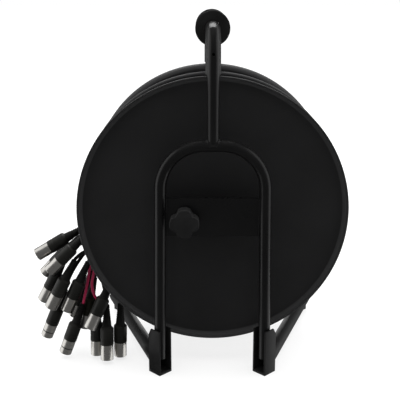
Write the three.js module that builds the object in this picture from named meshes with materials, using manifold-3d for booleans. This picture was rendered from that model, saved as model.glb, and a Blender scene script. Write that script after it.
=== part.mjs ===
// A stage cable reel: a drum on a shaft between two tubular side frames, with a screw brake on the near side, a crank
// on the far side, a carrying handle, and the fan-out of the wound multicore hanging from the drum's front chamber.
// Millimetres. +Z is up, +Y points away from the brake side, and the drum turns about Y.
import * as THREE from "three";
import { mergeVertices } from "three/addons/utils/BufferGeometryUtils.js";
import Module from "manifold-3d";

const wasm = await Module();
wasm.setup();

// Driving sizes

const GAP = 0.3; // between separate pieces that seat on or run in each other
const CUT = 5; // how far a cutting solid runs past the piece it cuts

const FLANGE_RADIUS = 190;
const FLOOR_CLEARANCE = 43; // of the drum above the floor
const DRUM_WIDTH = 189; // over both flanges' rims
const SHEET = 1.5;
const RIM_DEPTH = 9; // how far a flange's rim stands proud of its face
const RIM_BEND = 6;
const PARTITION_SETBACK = 62; // from the near rim's edge to the partition's middle
const BEAD_RADIUS = 3;
const WINDOW_SETBACK = 30; // of the partition's window from its rim
const WINDOW_DEPTH = 38;
const CORE_RADIUS = 75;
const CORE_WALL = 2;
const SHAFT_RADIUS = 10;

const CABLE_DIAMETER = 14;
const WINDING_RADIUS = 140; // to the middle of the outer layer's cable
const WINDING_TURNS = 7;
const LEAD_ANGLE = 88; // degrees round the drum at which the cable leaves the winding

const FRAME_TUBE = 16.6;
const FRAME_WALL = 1.5;
const FRAME_CLEARANCE = 10.2; // between the drum's rims and the frames' tubes
const ARCH_RISE = 99.3; // of the arches' middle line above the axis
const ARCH_BEND = 60;
const NEAR_ARCH_SPAN = 23; // of the straight run at the arch's top
const FAR_ARCH_SPAN = 180;
const NEAR_SPLAY = 0.8; // degrees that the near legs lean out
const LEG_END = 22; // height of the legs' lower ends

const PLATE_HEIGHT = 54;
const PLATE_THICKNESS = 5;
const BUSH_WALL = 5;
const BUSH_LENGTH = 14;
const COLLAR_WIDTH = 4;
const COLLAR_THICKNESS = 3;

const SHOE_SIDE = 23.4;
const SHOE_CLEARANCE = 0.8; // between a leg and its shoe's walls
const SHOE_HEIGHT = 68;
const CHAMFER_DEPTH = 5; // how far the web's top corner is cut back
const CHAMFER_HEIGHT = 10;
const SOLE_THICKNESS = 4;

const RAIL_TUBE = 20;
const RAIL_WALL = 2;
const RAIL_HEIGHT = 20; // of a rail's middle line

const HANDLE_TUBE = 21;
const HANDLE_WALL = 2;
const HANDLE_BEND = 45;
const GRIP_REACH = 59.5; // of the grip's middle line beyond the drum
const HANDLE_CLEARANCE = 2.2; // between the handle's lower ends and the drum
const GRIP_WALL = 3.2;
const GRIP_END = 1.5; // the straight tube left bare at each end of the grip
const GUARD_RADIUS = 24.2;
const GUARD_THICKNESS = 6;

const UPRIGHT_BEND_ANGLE = 43; // degrees that an upright's top bends back over the handle

const BOLT_DROP = 29.5; // of the handle's bolts below the grip's middle line
const BOLT_RADIUS = 2.5;
const BOLT_HEAD_RADIUS = 3.6;
const BOLT_HEAD_HEIGHT = 2.5;
const BOLT_SEAT = 0.6; // between a bolt's head and the inside of the tube's straight wall
const KEY_HOLE_RADIUS = 2; // through which the bolt is driven

const KNOB_RADIUS = 20;
const KNOB_SIDE = 38.5; // from the axis to the knob's middle
const KNOB_DROP = 2.1; // how far the knob's middle is below the axis
const KNOB_THICKNESS = 18;
const KNOB_HUB_RADIUS = 9;
const KNOB_HUB_LENGTH = 3.5;
const KNOB_LOBES = 4;
const KNOB_LOBE_SHARE = 0.2;
const KNOB_NOTCH = 3; // a higher power makes the notches between the lobes narrower
const STUD_RADIUS = 4;
const STUD_GRIP = 12; // the stud's length inside the knob
const STUD_SEAT = 4; // and inside the pad
const BOSS_RADIUS = 9;
const BOSS_LENGTH = 4;
const PAD_RADIUS = 12;
const PAD_THICKNESS = 8;
const PAD_LIFT = 1.5; // between the released pad and the flange
const KNOB_LIFT = 2; // between the knob's hub and the plate's boss, which the brake's travel takes up

const CRANK_LENGTH = 90;
const CRANK_WIDTH = 26;
const CRANK_THICKNESS = 5;
const CRANK_SETOFF = 6; // between the far plate's bush and the crank
const CRANK_PIN_RADIUS = 5;
const CRANK_HEAD_RADIUS = 8;
const CRANK_HEAD_HEIGHT = 3;
const CRANK_KNOB_RADIUS = 13;
const CRANK_KNOB_LENGTH = 48;
const SHAFT_PROUD = 2;

const TAIL_DIAMETER = 5;
const MOUTH_RADIUS = 16.5;
const MOUTH_REACH = 157; // from the axis to the boot's mouth, which faces straight outward
const MOUTH_ANGLE = 198; // degrees round the drum
const MOUTH_SETBACK = 36.5; // from the near rim's edge
const BOOT_TAIL_RADIUS = 9.5;
const BOOT_LENGTH = 30;
const TAIL_CLEARANCE = 0.95; // between the mouth, which turns with the drum, and the tails, which hold still
const INNER_RING = 6.4; // radii on which the tails leave the boot's mouth
const OUTER_RING = 12.6;

const SLEEVE_RADIUS = 9.3;
const SLEEVE_LENGTH = 22;
const BODY_RADIUS = 9.8;
const BODY_LENGTH = 28;
const BOOT_RADIUS = 6.8; // of a connector's rubber boot where it meets the body
const COLLET_RADIUS = 4.2;

// Where things lie, counted from the axis and, along Y, from the drum's middle

const AXIS_HEIGHT = FLANGE_RADIUS + FLOOR_CLEARANCE;
const GRIP_RISE = FLANGE_RADIUS + GRIP_REACH;
const BOLT_RISE = GRIP_RISE - BOLT_DROP;
const RIM_PLANE = DRUM_WIDTH / 2;
const FACE_PLANE = RIM_PLANE - RIM_DEPTH;
const INNER_PLANE = FACE_PLANE - SHEET;
const PARTITION_PLANE = PARTITION_SETBACK - RIM_PLANE;
const FRAME_PLANE = RIM_PLANE + FRAME_CLEARANCE + FRAME_TUBE / 2;
const PLATE_FRONT = FRAME_PLANE + PLATE_THICKNESS / 2;
const PLATE_BACK = FRAME_PLANE - PLATE_THICKNESS / 2;

const CRANK_PLANE = PLATE_FRONT + COLLAR_THICKNESS + CRANK_SETOFF;
const CRANK_FRONT = CRANK_PLANE + CRANK_THICKNESS;
const CRANK_END = CRANK_FRONT + GAP + CRANK_KNOB_LENGTH + GAP + CRANK_HEAD_HEIGHT;
const KNOB_BACK = PLATE_FRONT + BOSS_LENGTH + KNOB_LIFT;
const KNOB_FRONT = KNOB_BACK + KNOB_HUB_LENGTH + KNOB_THICKNESS;
const MIDDLE = (CRANK_END - KNOB_FRONT) / 2; // the part's middle along Y, which is its origin

const CONNECTOR_LENGTH = 82;

// The fan-out. Places are counted from the drum's middle. A tail leaves the boot's mouth at its slot, follows its
// route to its connector's rear end, and the connector points from there to its tip.

const LEAD_ROUTE = [
  [-19.5, -25, 138.8],
  [-38.6, -28, 134.6],
  [-57, -32.5, 128],
  [-73.5, -38.5, 117],
  [-85, -45.5, 101.5],
  [-90, -51.5, 83],
  [-89, -55.5, 63],
  [-85.5, -57.5, 42.5],
  [-83, -58, 22.5],
  [-83, -58, 5],
  [-87.6, -58, -13],
  [-99.3, -58, -28.2],
];
const TAILS = [
  { slot: 6, route: [[-160.5, -57.3, -37.2], [-168, -55.5, -34.5], [-176, -53, -31.5]],
    rear: [-185, -51, -33], tip: [-256, -58, -74] },
  { slot: 7, route: [[-160, -48, -42.5], [-169, -46.5, -43.5], [-179, -44.5, -43], [-188, -43, -45.5]],
    rear: [-195, -42, -51], tip: [-251, -36, -111] },
  { slot: 13, route: [[-158.5, -67.5, -39], [-167, -69.3, -32.8], [-174, -70.7, -30.6]],
    rear: [-178, -71, -35], tip: [-236, -76, -93] },
  { slot: 1, route: [[-160, -58, -45.5], [-172, -58.2, -50.5], [-186, -58.5, -55], [-202, -59, -62]],
    rear: [-213, -59, -74], tip: [-251, -54, -146] },
  { slot: 12, route: [[-158, -71, -51.5], [-168, -71.5, -56], [-178, -72, -61.5], [-189, -72.5, -67]],
    rear: [-199, -73, -77], tip: [-237, -75, -150] },
  { slot: 5, route: [[-158, -64.3, -50], [-166, -65, -55.5], [-172.5, -66.5, -62], [-177, -68.5, -71]],
    rear: [-180, -70, -81], tip: [-214, -72, -155] },
  { slot: 8, route: [[-158, -44.5, -52], [-166, -43.5, -61], [-172, -42, -74], [-176, -40.5, -90]],
    rear: [-180, -39, -107], tip: [-211, -28, -183] },
  { slot: 2, route: [[-160, -51.5, -50.5], [-175, -51, -61], [-190, -50, -77], [-203, -49, -96], [-213, -48, -115]],
    rear: [-219, -48, -132], tip: [-251, -48, -208], female: true },
  { slot: 0, route: [[-159, -58, -52], [-170, -59, -61.5], [-177, -60, -77], [-180, -61, -97], [-185, -63, -123]],
    rear: [-191, -65, -148], tip: [-220, -70, -225], female: true },
  { slot: 9, route: [[-154, -48.5, -61], [-161, -48.5, -70], [-166, -49.5, -83], [-171, -51, -97]],
    rear: [-174, -52, -112], tip: [-193, -50, -191] },
  { slot: 11, route: [[-151.5, -67.3, -60], [-152, -68.5, -68], [-147.5, -70, -78.5], [-143.5, -72, -90]],
    rear: [-144, -74, -103], tip: [-178, -93, -175] },
  { slot: 3, route: [[-157, -54.5, -57.5], [-166, -56, -67], [-172, -58.5, -84.5], [-174, -60.5, -101.5], [-177, -62, -118], [-175, -62.5, -132.5]],
    rear: [-171, -61, -146], tip: [-172, -70, -228] },
  { slot: 4, route: [[-156, -62.5, -58], [-163, -64, -68], [-165, -66, -85], [-161, -68, -108], [-157, -70, -128]],
    rear: [-155, -71, -147], tip: [-155, -88, -227] },
  { slot: 10, route: [[-153, -58.5, -66], [-157, -60, -78], [-152, -63, -94], [-143, -66, -112], [-137, -68, -128]],
    rear: [-135, -69, -146], tip: [-137, -73, -228] },
];

// Materials

const finish = (color, roughness, metalness) => new THREE.MeshStandardMaterial({ color, roughness, metalness });
const black_paint = finish(0x1c1c1d, 0.42, 0.3);
const drum_paint = finish(0x19191a, 0.5, 0.3);
const black_plastic = finish(0x1a1a1b, 0.55, 0);
const soft_rubber = finish(0x161616, 0.85, 0);
const bare_steel = finish(0x9a9a9c, 0.35, 0.9);
const satin_nickel = finish(0xc4c2bd, 0.3, 0.95);
const bronze = finish(0x8a6a3c, 0.4, 0.9);
const cable_jacket = finish(0x202021, 0.6, 0);

// Solids: three.js geometry in and out of manifold-3d

function solid(geometry) {
  const bare = geometry.clone();
  bare.deleteAttribute("normal");
  bare.deleteAttribute("uv");
  const merged = mergeVertices(bare, 1e-3);
  return new wasm.Manifold(
    new wasm.Mesh({
      numProp: 3,
      vertProperties: merged.attributes.position.array,
      triVerts: new Uint32Array(merged.index.array),
    }),
  );
}

function geometryOf(manifold) {
  const mesh = manifold.getMesh();
  const geometry = new THREE.BufferGeometry();
  geometry.setAttribute("position", new THREE.BufferAttribute(new Float32Array(mesh.vertProperties), 3));
  geometry.setIndex(new THREE.BufferAttribute(new Uint32Array(mesh.triVerts), 1));
  geometry.computeVertexNormals();
  return geometry;
}

const less = (base, ...cutters) =>
  geometryOf(cutters.reduce((rest, cutter) => rest.subtract(solid(cutter)), solid(base)));
const joined = (base, ...others) =>
  geometryOf(others.reduce((whole, other) => whole.add(solid(other)), solid(base)));

// Basic shapes

// A profile of [radius, y] points, turned about Y. It is listed anticlockwise with radius to the right and y up.
function turned(profile, segments) {
  return new THREE.LatheGeometry(profile.map(([radius, y]) => new THREE.Vector2(radius, y)), segments);
}

function ring(inner, outer, low, high, segments = 24) {
  return turned([[inner, low], [outer, low], [outer, high], [inner, high], [inner, low]], segments);
}

function rod(radius, low, high, segments = 16) {
  return turned([[0, low], [radius, low], [radius, high], [0, high]], segments);
}

function block(width, depth, height) {
  return new THREE.BoxGeometry(width, depth, height);
}

// A route through its own stations only, so a straight run takes one step however long it is
class Stations extends THREE.Curve {
  constructor(places) {
    super();
    this.places = places;
  }
  getPoint(t, target = new THREE.Vector3()) {
    const last = this.places.length - 1;
    const from = Math.min(Math.floor(t * last), last - 1);
    return target.lerpVectors(this.places[from], this.places[from + 1], t * last - from);
  }
  getPointAt(t, target) {
    return this.getPoint(t, target);
  }
  getTangentAt(t, target = new THREE.Vector3()) {
    const last = this.places.length - 1;
    const here = Math.round(t * last);
    const before = this.places[Math.max(here - 1, 0)];
    const after = this.places[Math.min(here + 1, last)];
    const place = this.places[here];
    const arriving = place.clone().sub(before).normalize();
    const leaving = after.clone().sub(place).normalize();
    return target.addVectors(arriving, leaving).normalize();
  }
}

// A round bar or, with a bore, a tube along stations
function swept(places, radius, sides, bore = 0) {
  const section = new THREE.Shape().absarc(0, 0, radius, 0, 2 * Math.PI);
  if (bore) section.holes.push(new THREE.Path().absarc(0, 0, bore, 0, 2 * Math.PI));
  return new THREE.ExtrudeGeometry(section, {
    steps: places.length - 1,
    curveSegments: sides / 2,
    extrudePath: new Stations(places),
  });
}

function arc(centre, radius, from, to, steps, place) {
  return Array.from({ length: steps + 1 }, (_, i) => {
    const angle = THREE.MathUtils.degToRad(from + ((to - from) * i) / steps);
    return place(centre[0] + radius * Math.cos(angle), centre[1] + radius * Math.sin(angle));
  });
}

// The drum, counted from its own middle

const DRUM_SEGMENTS = 48;
const BEND_STEPS = 3;

// A flange is a disc whose rim bends outward to RIM_DEPTH and ends in an edge one sheet thick. side is -1 near, 1 far.
function flange(side) {
  const bend_radius = FLANGE_RADIUS - SHEET - RIM_BEND;
  const bend_middle = FACE_PLANE + RIM_BEND;
  const inward = arc([bend_radius, bend_middle], RIM_BEND, -90, 0, BEND_STEPS, (radius, y) => [radius, y]);
  const outward = arc([bend_radius, bend_middle], RIM_BEND + SHEET, 0, -90, BEND_STEPS, (radius, y) => [radius, y]);
  const hole = SHAFT_RADIUS + GAP;
  const profile = [
    [hole, FACE_PLANE],
    ...inward,
    [FLANGE_RADIUS - SHEET, RIM_PLANE],
    [FLANGE_RADIUS, RIM_PLANE],
    ...outward,
    [hole, INNER_PLANE],
    [hole, FACE_PLANE],
  ].reverse();
  const placed = side < 0 ? profile.map(([radius, y]) => [radius, -y]).reverse() : profile;
  return turned(placed, DRUM_SEGMENTS);
}

// The partition is a disc with a beaded rim, open over the lead's passage
const WINDOW_OUTER = FLANGE_RADIUS - WINDOW_SETBACK;
const WINDOW_INNER = WINDOW_OUTER - WINDOW_DEPTH;
const WINDOW_FROM = 92;
const WINDOW_TO = 140;

function partition() {
  const half = SHEET / 2;
  const neck = Math.asin(half / BEAD_RADIUS) * THREE.MathUtils.RAD2DEG;
  const bead_centre = [FLANGE_RADIUS - BEAD_RADIUS, PARTITION_PLANE];
  const bead = arc(bead_centre, BEAD_RADIUS, neck - 180, 180 - neck, 2 * BEND_STEPS, (radius, y) => [radius, y]);
  const hole = CORE_RADIUS + GAP;
  const profile = [
    [hole, PARTITION_PLANE - half],
    ...bead,
    [hole, PARTITION_PLANE + half],
    [hole, PARTITION_PLANE - half],
  ];
  const window = new THREE.Shape();
  const from = THREE.MathUtils.degToRad(WINDOW_FROM);
  const to = THREE.MathUtils.degToRad(WINDOW_TO);
  window.absarc(0, 0, WINDOW_OUTER, from, to, false);
  window.absarc(0, 0, WINDOW_INNER, to, from, true);
  window.closePath();
  const cutter = new THREE.ExtrudeGeometry(window, { depth: 2 * CUT, bevelEnabled: false, curveSegments: 12 });
  cutter.rotateX(Math.PI / 2);
  cutter.translate(0, PARTITION_PLANE + CUT, 0);
  return less(turned(profile, DRUM_SEGMENTS), cutter);
}

const drum_core = () =>
  ring(CORE_RADIUS - CORE_WALL, CORE_RADIUS, GAP - INNER_PLANE, INNER_PLANE - GAP, 36);
const shaft_start = -(PLATE_BACK - GAP);
const drum_shaft = () => rod(SHAFT_RADIUS, shaft_start, CRANK_FRONT + SHAFT_PROUD);

// The winding fills the space between the partition and the far flange. Its outer layer is one unbroken tube that
// turns towards the partition and ends in a straight run where the lead takes over.
const CABLE_RADIUS = CABLE_DIAMETER / 2;
const TURN_STEPS = 24;
const CABLE_SIDES = 6;
const PARTITION_BACK = PARTITION_PLANE + SHEET / 2;
const winding_near = PARTITION_BACK + CABLE_RADIUS + GAP;
const winding_far = INNER_PLANE - CABLE_RADIUS - GAP;
const winding_pitch = (winding_far - winding_near) / WINDING_TURNS;
const LAYER_GAP = 0.4;
const lead_angle = THREE.MathUtils.degToRad(LEAD_ANGLE);
const leaving = new THREE.Vector3(-Math.sin(lead_angle), 0, Math.cos(lead_angle));

// The outer layer's straight steps dip inside its true circle, and the layers beneath stay clear of them
function inner_layers() {
  const dipped = WINDING_RADIUS * Math.cos(Math.PI / TURN_STEPS);
  const outer = dipped - CABLE_RADIUS - LAYER_GAP;
  return ring(CORE_RADIUS + GAP, outer, PARTITION_BACK + GAP, INNER_PLANE - GAP, 36);
}

function winding_places() {
  const steps = WINDING_TURNS * TURN_STEPS;
  const places = Array.from({ length: steps + 1 }, (_, i) => {
    const share = i / steps;
    const angle = lead_angle - 2 * Math.PI * WINDING_TURNS * (1 - share);
    const y = winding_far + (winding_near - winding_far) * share;
    return new THREE.Vector3(WINDING_RADIUS * Math.cos(angle), y, WINDING_RADIUS * Math.sin(angle));
  });
  const start_angle = lead_angle - 2 * Math.PI * WINDING_TURNS;
  const entering = new THREE.Vector3(-Math.sin(start_angle), 0, Math.cos(start_angle));
  const before = places[0].clone().addScaledVector(entering, -CABLE_DIAMETER);
  return [before, ...places, places[steps].clone().addScaledVector(leaving, CABLE_DIAMETER)];
}

function outer_layer() {
  const places = winding_places();
  let least = Infinity;
  places.forEach((a, i) => {
    for (let j = i + TURN_STEPS / 2; j < places.length; j++)
      least = Math.min(least, a.distanceTo(places[j]) - CABLE_DIAMETER);
  });
  console.log("outer layer: least gap to itself " + least.toFixed(2) + " mm");
  return swept(places, CABLE_RADIUS, CABLE_SIDES);
}

// The lead, the breakout boot and the fan-out

const vector = ([x, y, z]) => new THREE.Vector3(x, y, z);
const mouth_angle = THREE.MathUtils.degToRad(MOUTH_ANGLE);
const mouth_direction = new THREE.Vector3(Math.cos(mouth_angle), 0, Math.sin(mouth_angle));
const mouth_across = new THREE.Vector3(Math.sin(mouth_angle), 0, -Math.cos(mouth_angle));
const mouth = mouth_direction.clone().multiplyScalar(MOUTH_REACH).setY(MOUTH_SETBACK - RIM_PLANE);

function boot() {
  const bell_length_share = 0.45;
  const geometry = turned(
    [
      [0, 0],
      [BOOT_TAIL_RADIUS, 0],
      [MOUTH_RADIUS, BOOT_LENGTH * bell_length_share],
      [MOUTH_RADIUS, BOOT_LENGTH],
      [0, BOOT_LENGTH],
    ],
    24,
  );
  const placing = new THREE.Quaternion().setFromUnitVectors(new THREE.Vector3(0, 1, 0), mouth_direction);
  geometry.applyQuaternion(placing);
  const tail = mouth.clone().addScaledVector(mouth_direction, -BOOT_LENGTH);
  return geometry.translate(tail.x, tail.y, tail.z);
}

const STRAIGHT_SHARE = 0.5;
const LEAD_STEP_SHARE = 1; // of the cable's diameter, from one station to the next
const TAIL_STEP_SHARE = 2.6;

// A cable's stations: straight out of start, through its route, and straight into end
function cable_places(start, leaving, route, arriving, end, diameter, step_share) {
  const after = start.clone().addScaledVector(leaving, diameter * STRAIGHT_SHARE);
  const before = end.clone().addScaledVector(arriving, -diameter * STRAIGHT_SHARE);
  const curve = new THREE.CatmullRomCurve3([after, ...route.map(vector), before]);
  const steps = Math.round(curve.getLength() / (diameter * step_share));
  return [start, ...curve.getSpacedPoints(steps), end];
}

function lead() {
  const start = winding_places().pop().addScaledVector(leaving, GAP);
  const end = mouth.clone().addScaledVector(mouth_direction, -BOOT_LENGTH - GAP);
  const places = cable_places(start, leaving, LEAD_ROUTE, mouth_direction, end, CABLE_DIAMETER, LEAD_STEP_SHARE);
  return swept(places, CABLE_RADIUS, 10);
}

// Slot 0 is the mouth's middle, 1 to 5 are the inner ring and 6 to 13 the outer one
const INNER_SLOTS = 5;
const OUTER_SLOTS = 8;

function slot_place(slot) {
  if (slot === 0) return mouth.clone();
  const inner = slot <= INNER_SLOTS;
  const radius = inner ? INNER_RING : OUTER_RING;
  const angle = inner
    ? (2 * Math.PI * (slot - 1)) / INNER_SLOTS
    : (2 * Math.PI * (slot - 1 - INNER_SLOTS)) / OUTER_SLOTS;
  return mouth
    .clone()
    .addScaledVector(mouth_across, radius * Math.cos(angle))
    .add(new THREE.Vector3(0, radius * Math.sin(angle), 0));
}

function tail({ slot, route, rear, tip }) {
  const start = slot_place(slot).addScaledVector(mouth_direction, TAIL_CLEARANCE);
  const pointing = vector(tip).sub(vector(rear)).normalize();
  const end = vector(rear).addScaledVector(pointing, -GAP);
  const places = cable_places(start, mouth_direction, route, pointing, end, TAIL_DIAMETER, TAIL_STEP_SHARE);
  return swept(places, TAIL_DIAMETER / 2, 8);
}

// A connector is turned about its own axis from its rear collet to its tip
const GROOVE_DEPTH = 1;
const GROOVE_WIDTH = 1.4;
const GROOVE_SETBACK = 9;
const COLLET_LENGTH = 3;
const SHOULDER_LENGTH = 4;

function connector({ rear, tip, female }) {
  const body_start = CONNECTOR_LENGTH - SLEEVE_LENGTH - BODY_LENGTH;
  const sleeve_start = CONNECTOR_LENGTH - SLEEVE_LENGTH;
  const groove = CONNECTOR_LENGTH - GROOVE_SETBACK;
  const ringed = [
    [SLEEVE_RADIUS, groove - GROOVE_WIDTH],
    [SLEEVE_RADIUS - GROOVE_DEPTH, groove - GROOVE_WIDTH],
    [SLEEVE_RADIUS - GROOVE_DEPTH, groove],
    [SLEEVE_RADIUS, groove],
  ];
  const profile = [
    [0, 0],
    [COLLET_RADIUS, 0],
    [COLLET_RADIUS, COLLET_LENGTH],
    [BOOT_RADIUS, body_start],
    [BODY_RADIUS, body_start + SHOULDER_LENGTH],
    [BODY_RADIUS, sleeve_start],
    [SLEEVE_RADIUS, sleeve_start],
    ...(female ? ringed : []),
    [SLEEVE_RADIUS, CONNECTOR_LENGTH],
    [0, CONNECTOR_LENGTH],
  ];
  const geometry = turned(profile, 12);
  const from = vector(rear);
  const pointing = vector(tip).sub(from).normalize();
  geometry.applyQuaternion(new THREE.Quaternion().setFromUnitVectors(new THREE.Vector3(0, 1, 0), pointing));
  return geometry.translate(from.x, from.y, from.z);
}

// The crank, on the shaft's far end. Its arm hangs straight down at rest.

function crank_arm() {
  const half = CRANK_WIDTH / 2;
  const outline = new THREE.Shape();
  outline.absarc(0, 0, half, 0, Math.PI, false);
  outline.absarc(0, -CRANK_LENGTH, half, Math.PI, 2 * Math.PI, false);
  outline.closePath();
  outline.holes.push(new THREE.Path().absarc(0, 0, SHAFT_RADIUS + GAP, 0, 2 * Math.PI));
  const bar = new THREE.ExtrudeGeometry(outline, { depth: CRANK_THICKNESS, bevelEnabled: false, curveSegments: 8 });
  bar.rotateX(Math.PI / 2);
  bar.translate(0, CRANK_FRONT, 0);
  const head = CRANK_END - CRANK_HEAD_HEIGHT;
  const pin = rod(CRANK_PIN_RADIUS, CRANK_PLANE + CRANK_THICKNESS / 2, head + CRANK_HEAD_HEIGHT / 2);
  const cap = rod(CRANK_HEAD_RADIUS, head, CRANK_END);
  const place = -CRANK_LENGTH;
  return joined(bar, pin.translate(0, 0, place), cap.translate(0, 0, place));
}

function crank_knob() {
  const low = CRANK_FRONT + GAP;
  const high = low + CRANK_KNOB_LENGTH;
  const round = 3;
  const bore = CRANK_PIN_RADIUS + GAP;
  const geometry = turned(
    [
      [bore, low],
      [CRANK_KNOB_RADIUS - round, low],
      [CRANK_KNOB_RADIUS, low + round],
      [CRANK_KNOB_RADIUS, high - round],
      [CRANK_KNOB_RADIUS - round, high],
      [bore, high],
      [bore, low],
    ],
    24,
  );
  return geometry.translate(0, 0, -CRANK_LENGTH);
}

// The side frames

const FRAME_RADIUS = FRAME_TUBE / 2;
const FRAME_SIDES = 12;
const BEND_STATIONS = 5;
const SPLAY_ZERO = 0;

// Stations along an arch from its left leg's lower end to its right one. y is its plane.
function arch_places(span, splay, y) {
  const half = span / 2;
  const spring = ARCH_RISE - ARCH_BEND;
  const lean_out = THREE.MathUtils.degToRad(splay);
  const foot = LEG_END - AXIS_HEIGHT;
  const right = arc([half, spring], ARCH_BEND, 90, splay, BEND_STATIONS, (x, z) => new THREE.Vector3(x, y, z));
  const knee = right[right.length - 1];
  right.push(new THREE.Vector3(knee.x + (knee.z - foot) * Math.tan(lean_out), y, foot));
  const left = right.map((place) => new THREE.Vector3(-place.x, y, place.z)).reverse();
  return [...left, ...right];
}

const near_places = arch_places(NEAR_ARCH_SPAN, NEAR_SPLAY, -FRAME_PLANE);
const far_places = arch_places(FAR_ARCH_SPAN, SPLAY_ZERO, FRAME_PLANE);
const bent_tube = (places) => swept(places, FRAME_RADIUS, FRAME_SIDES, FRAME_RADIUS - FRAME_WALL);
const room_for = (places) => swept(places, FRAME_RADIUS + GAP, FRAME_SIDES);
const leg_x = (places) => (places[places.length - 1].x + places[places.length - 2].x) / 2;
const foot_x = (places) => places[places.length - 1].x;

// A bolt runs along Y from inside an upright into a nut inside the handle's leg
const handle_plane = FRAME_PLANE - FRAME_RADIUS - GAP - HANDLE_TUBE / 2;
const head_back = FRAME_PLANE - FRAME_RADIUS + FRAME_WALL + BOLT_SEAT;
const nut_front = handle_plane;
const nut_back = nut_front - BOLT_HEAD_HEIGHT;
const bend_plane = handle_plane - HANDLE_BEND;
const bend_rise = GRIP_RISE - HANDLE_BEND;

function turned_to(side, geometry) {
  return side < 0 ? geometry.rotateZ(Math.PI) : geometry;
}

function bolt_room(side) {
  const room = rod(BOLT_RADIUS + GAP, nut_front, head_back + BOLT_HEAD_HEIGHT / 2);
  return turned_to(side, room.translate(0, 0, BOLT_RISE));
}

function key_hole(side) {
  const hole = rod(KEY_HOLE_RADIUS, head_back + BOLT_HEAD_HEIGHT / 2, FRAME_PLANE + FRAME_RADIUS + CUT);
  return turned_to(side, hole.translate(0, 0, BOLT_RISE));
}

function handle_bolt(side) {
  const shank = rod(BOLT_RADIUS, (nut_back + nut_front) / 2, head_back + BOLT_HEAD_HEIGHT / 2);
  const head = rod(BOLT_HEAD_RADIUS, head_back, head_back + BOLT_HEAD_HEIGHT);
  const nut = rod(BOLT_HEAD_RADIUS, nut_back, nut_front, 6);
  return turned_to(side, joined(shank, head, nut).translate(0, 0, BOLT_RISE));
}

// An upright stands on its arch and bends back over the handle at its top
function upright(side, places) {
  const radius = FRAME_PLANE - bend_plane;
  const centre = [bend_plane, bend_rise];
  const place = (y, z) => new THREE.Vector3(0, side * y, z);
  const bend = arc(centre, radius, 0, UPRIGHT_BEND_ANGLE, BEND_STATIONS, place);
  const line = [new THREE.Vector3(0, side * FRAME_PLANE, ARCH_RISE), ...bend];
  return less(bent_tube(line), room_for(places), bolt_room(side), key_hole(side));
}

// The near plate carries the brake's boss and is blind at the shaft. The far plate is bored for its bush.
function near_plate() {
  const width = 2 * leg_x(near_places);
  const slab = block(width, PLATE_THICKNESS, PLATE_HEIGHT).translate(0, -FRAME_PLANE, 0);
  const boss = rod(BOSS_RADIUS, -PLATE_FRONT - BOSS_LENGTH, -FRAME_PLANE).translate(-KNOB_SIDE, 0, -KNOB_DROP);
  const bore = rod(STUD_RADIUS + GAP, -PLATE_FRONT - BOSS_LENGTH - CUT, -PLATE_BACK + CUT);
  return less(joined(slab, boss), room_for(near_places), bore.translate(-KNOB_SIDE, 0, -KNOB_DROP));
}

const BUSH_RADIUS = SHAFT_RADIUS + GAP + BUSH_WALL;

function far_plate() {
  const width = 2 * leg_x(far_places);
  const slab = block(width, PLATE_THICKNESS, PLATE_HEIGHT).translate(0, FRAME_PLANE, 0);
  const bore = rod(BUSH_RADIUS + GAP, PLATE_BACK - CUT, PLATE_FRONT + CUT);
  return less(slab, room_for(far_places), bore);
}

const near_bush = () => ring(SHAFT_RADIUS + GAP, BUSH_RADIUS, GAP - PLATE_BACK, GAP - PLATE_BACK + BUSH_LENGTH);

function far_bush() {
  const bore = SHAFT_RADIUS + GAP;
  const shoulder = PLATE_BACK - GAP;
  const profile = [
    [bore, shoulder - COLLAR_THICKNESS],
    [BUSH_RADIUS + COLLAR_WIDTH, shoulder - COLLAR_THICKNESS],
    [BUSH_RADIUS + COLLAR_WIDTH, shoulder],
    [BUSH_RADIUS, shoulder],
    [BUSH_RADIUS, PLATE_FRONT + COLLAR_THICKNESS],
    [bore, PLATE_FRONT + COLLAR_THICKNESS],
    [bore, shoulder - COLLAR_THICKNESS],
  ];
  return turned(profile, 24);
}

// The handle: one bent tube in the plane X = 0

function handle_places() {
  const end = FLANGE_RADIUS + HANDLE_CLEARANCE;
  const centre = [bend_plane, bend_rise];
  const far = arc(centre, HANDLE_BEND, 90, 0, BEND_STATIONS, (y, z) => new THREE.Vector3(0, y, z));
  far.push(new THREE.Vector3(0, handle_plane, end));
  const near = far.map((place) => new THREE.Vector3(0, -place.y, place.z)).reverse();
  return [...near, ...far];
}

const handle_tube = () =>
  less(
    swept(handle_places(), HANDLE_TUBE / 2, FRAME_SIDES, HANDLE_TUBE / 2 - HANDLE_WALL),
    bolt_room(1),
    bolt_room(-1),
  );

function handle_grip() {
  const half = bend_plane - GRIP_END;
  const bore = HANDLE_TUBE / 2 + GAP;
  const outer = bore + GRIP_WALL;
  const geometry = turned(
    [
      [bore, -half],
      [GUARD_RADIUS, -half],
      [GUARD_RADIUS, GUARD_THICKNESS - half],
      [outer, GUARD_THICKNESS - half],
      [outer, half - GUARD_THICKNESS],
      [GUARD_RADIUS, half - GUARD_THICKNESS],
      [GUARD_RADIUS, half],
      [bore, half],
      [bore, -half],
    ],
    24,
  );
  return geometry.translate(0, 0, GRIP_RISE);
}

// Shoes and rails. A shoe is a channel stood on end and turned 45 degrees, so that its web faces the rail.

const floor = -AXIS_HEIGHT;
const cavity = FRAME_TUBE + 2 * SHOE_CLEARANCE;

// side_x and side_y say which corner. In a shoe's own frame the web is at +Y and the mouth at -Y.
function shoe_turn(side_x, side_y) {
  const facing_back = side_x > 0 ? -Math.PI / 4 : Math.PI / 4;
  return side_y < 0 ? facing_back : Math.PI - facing_back;
}

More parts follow.
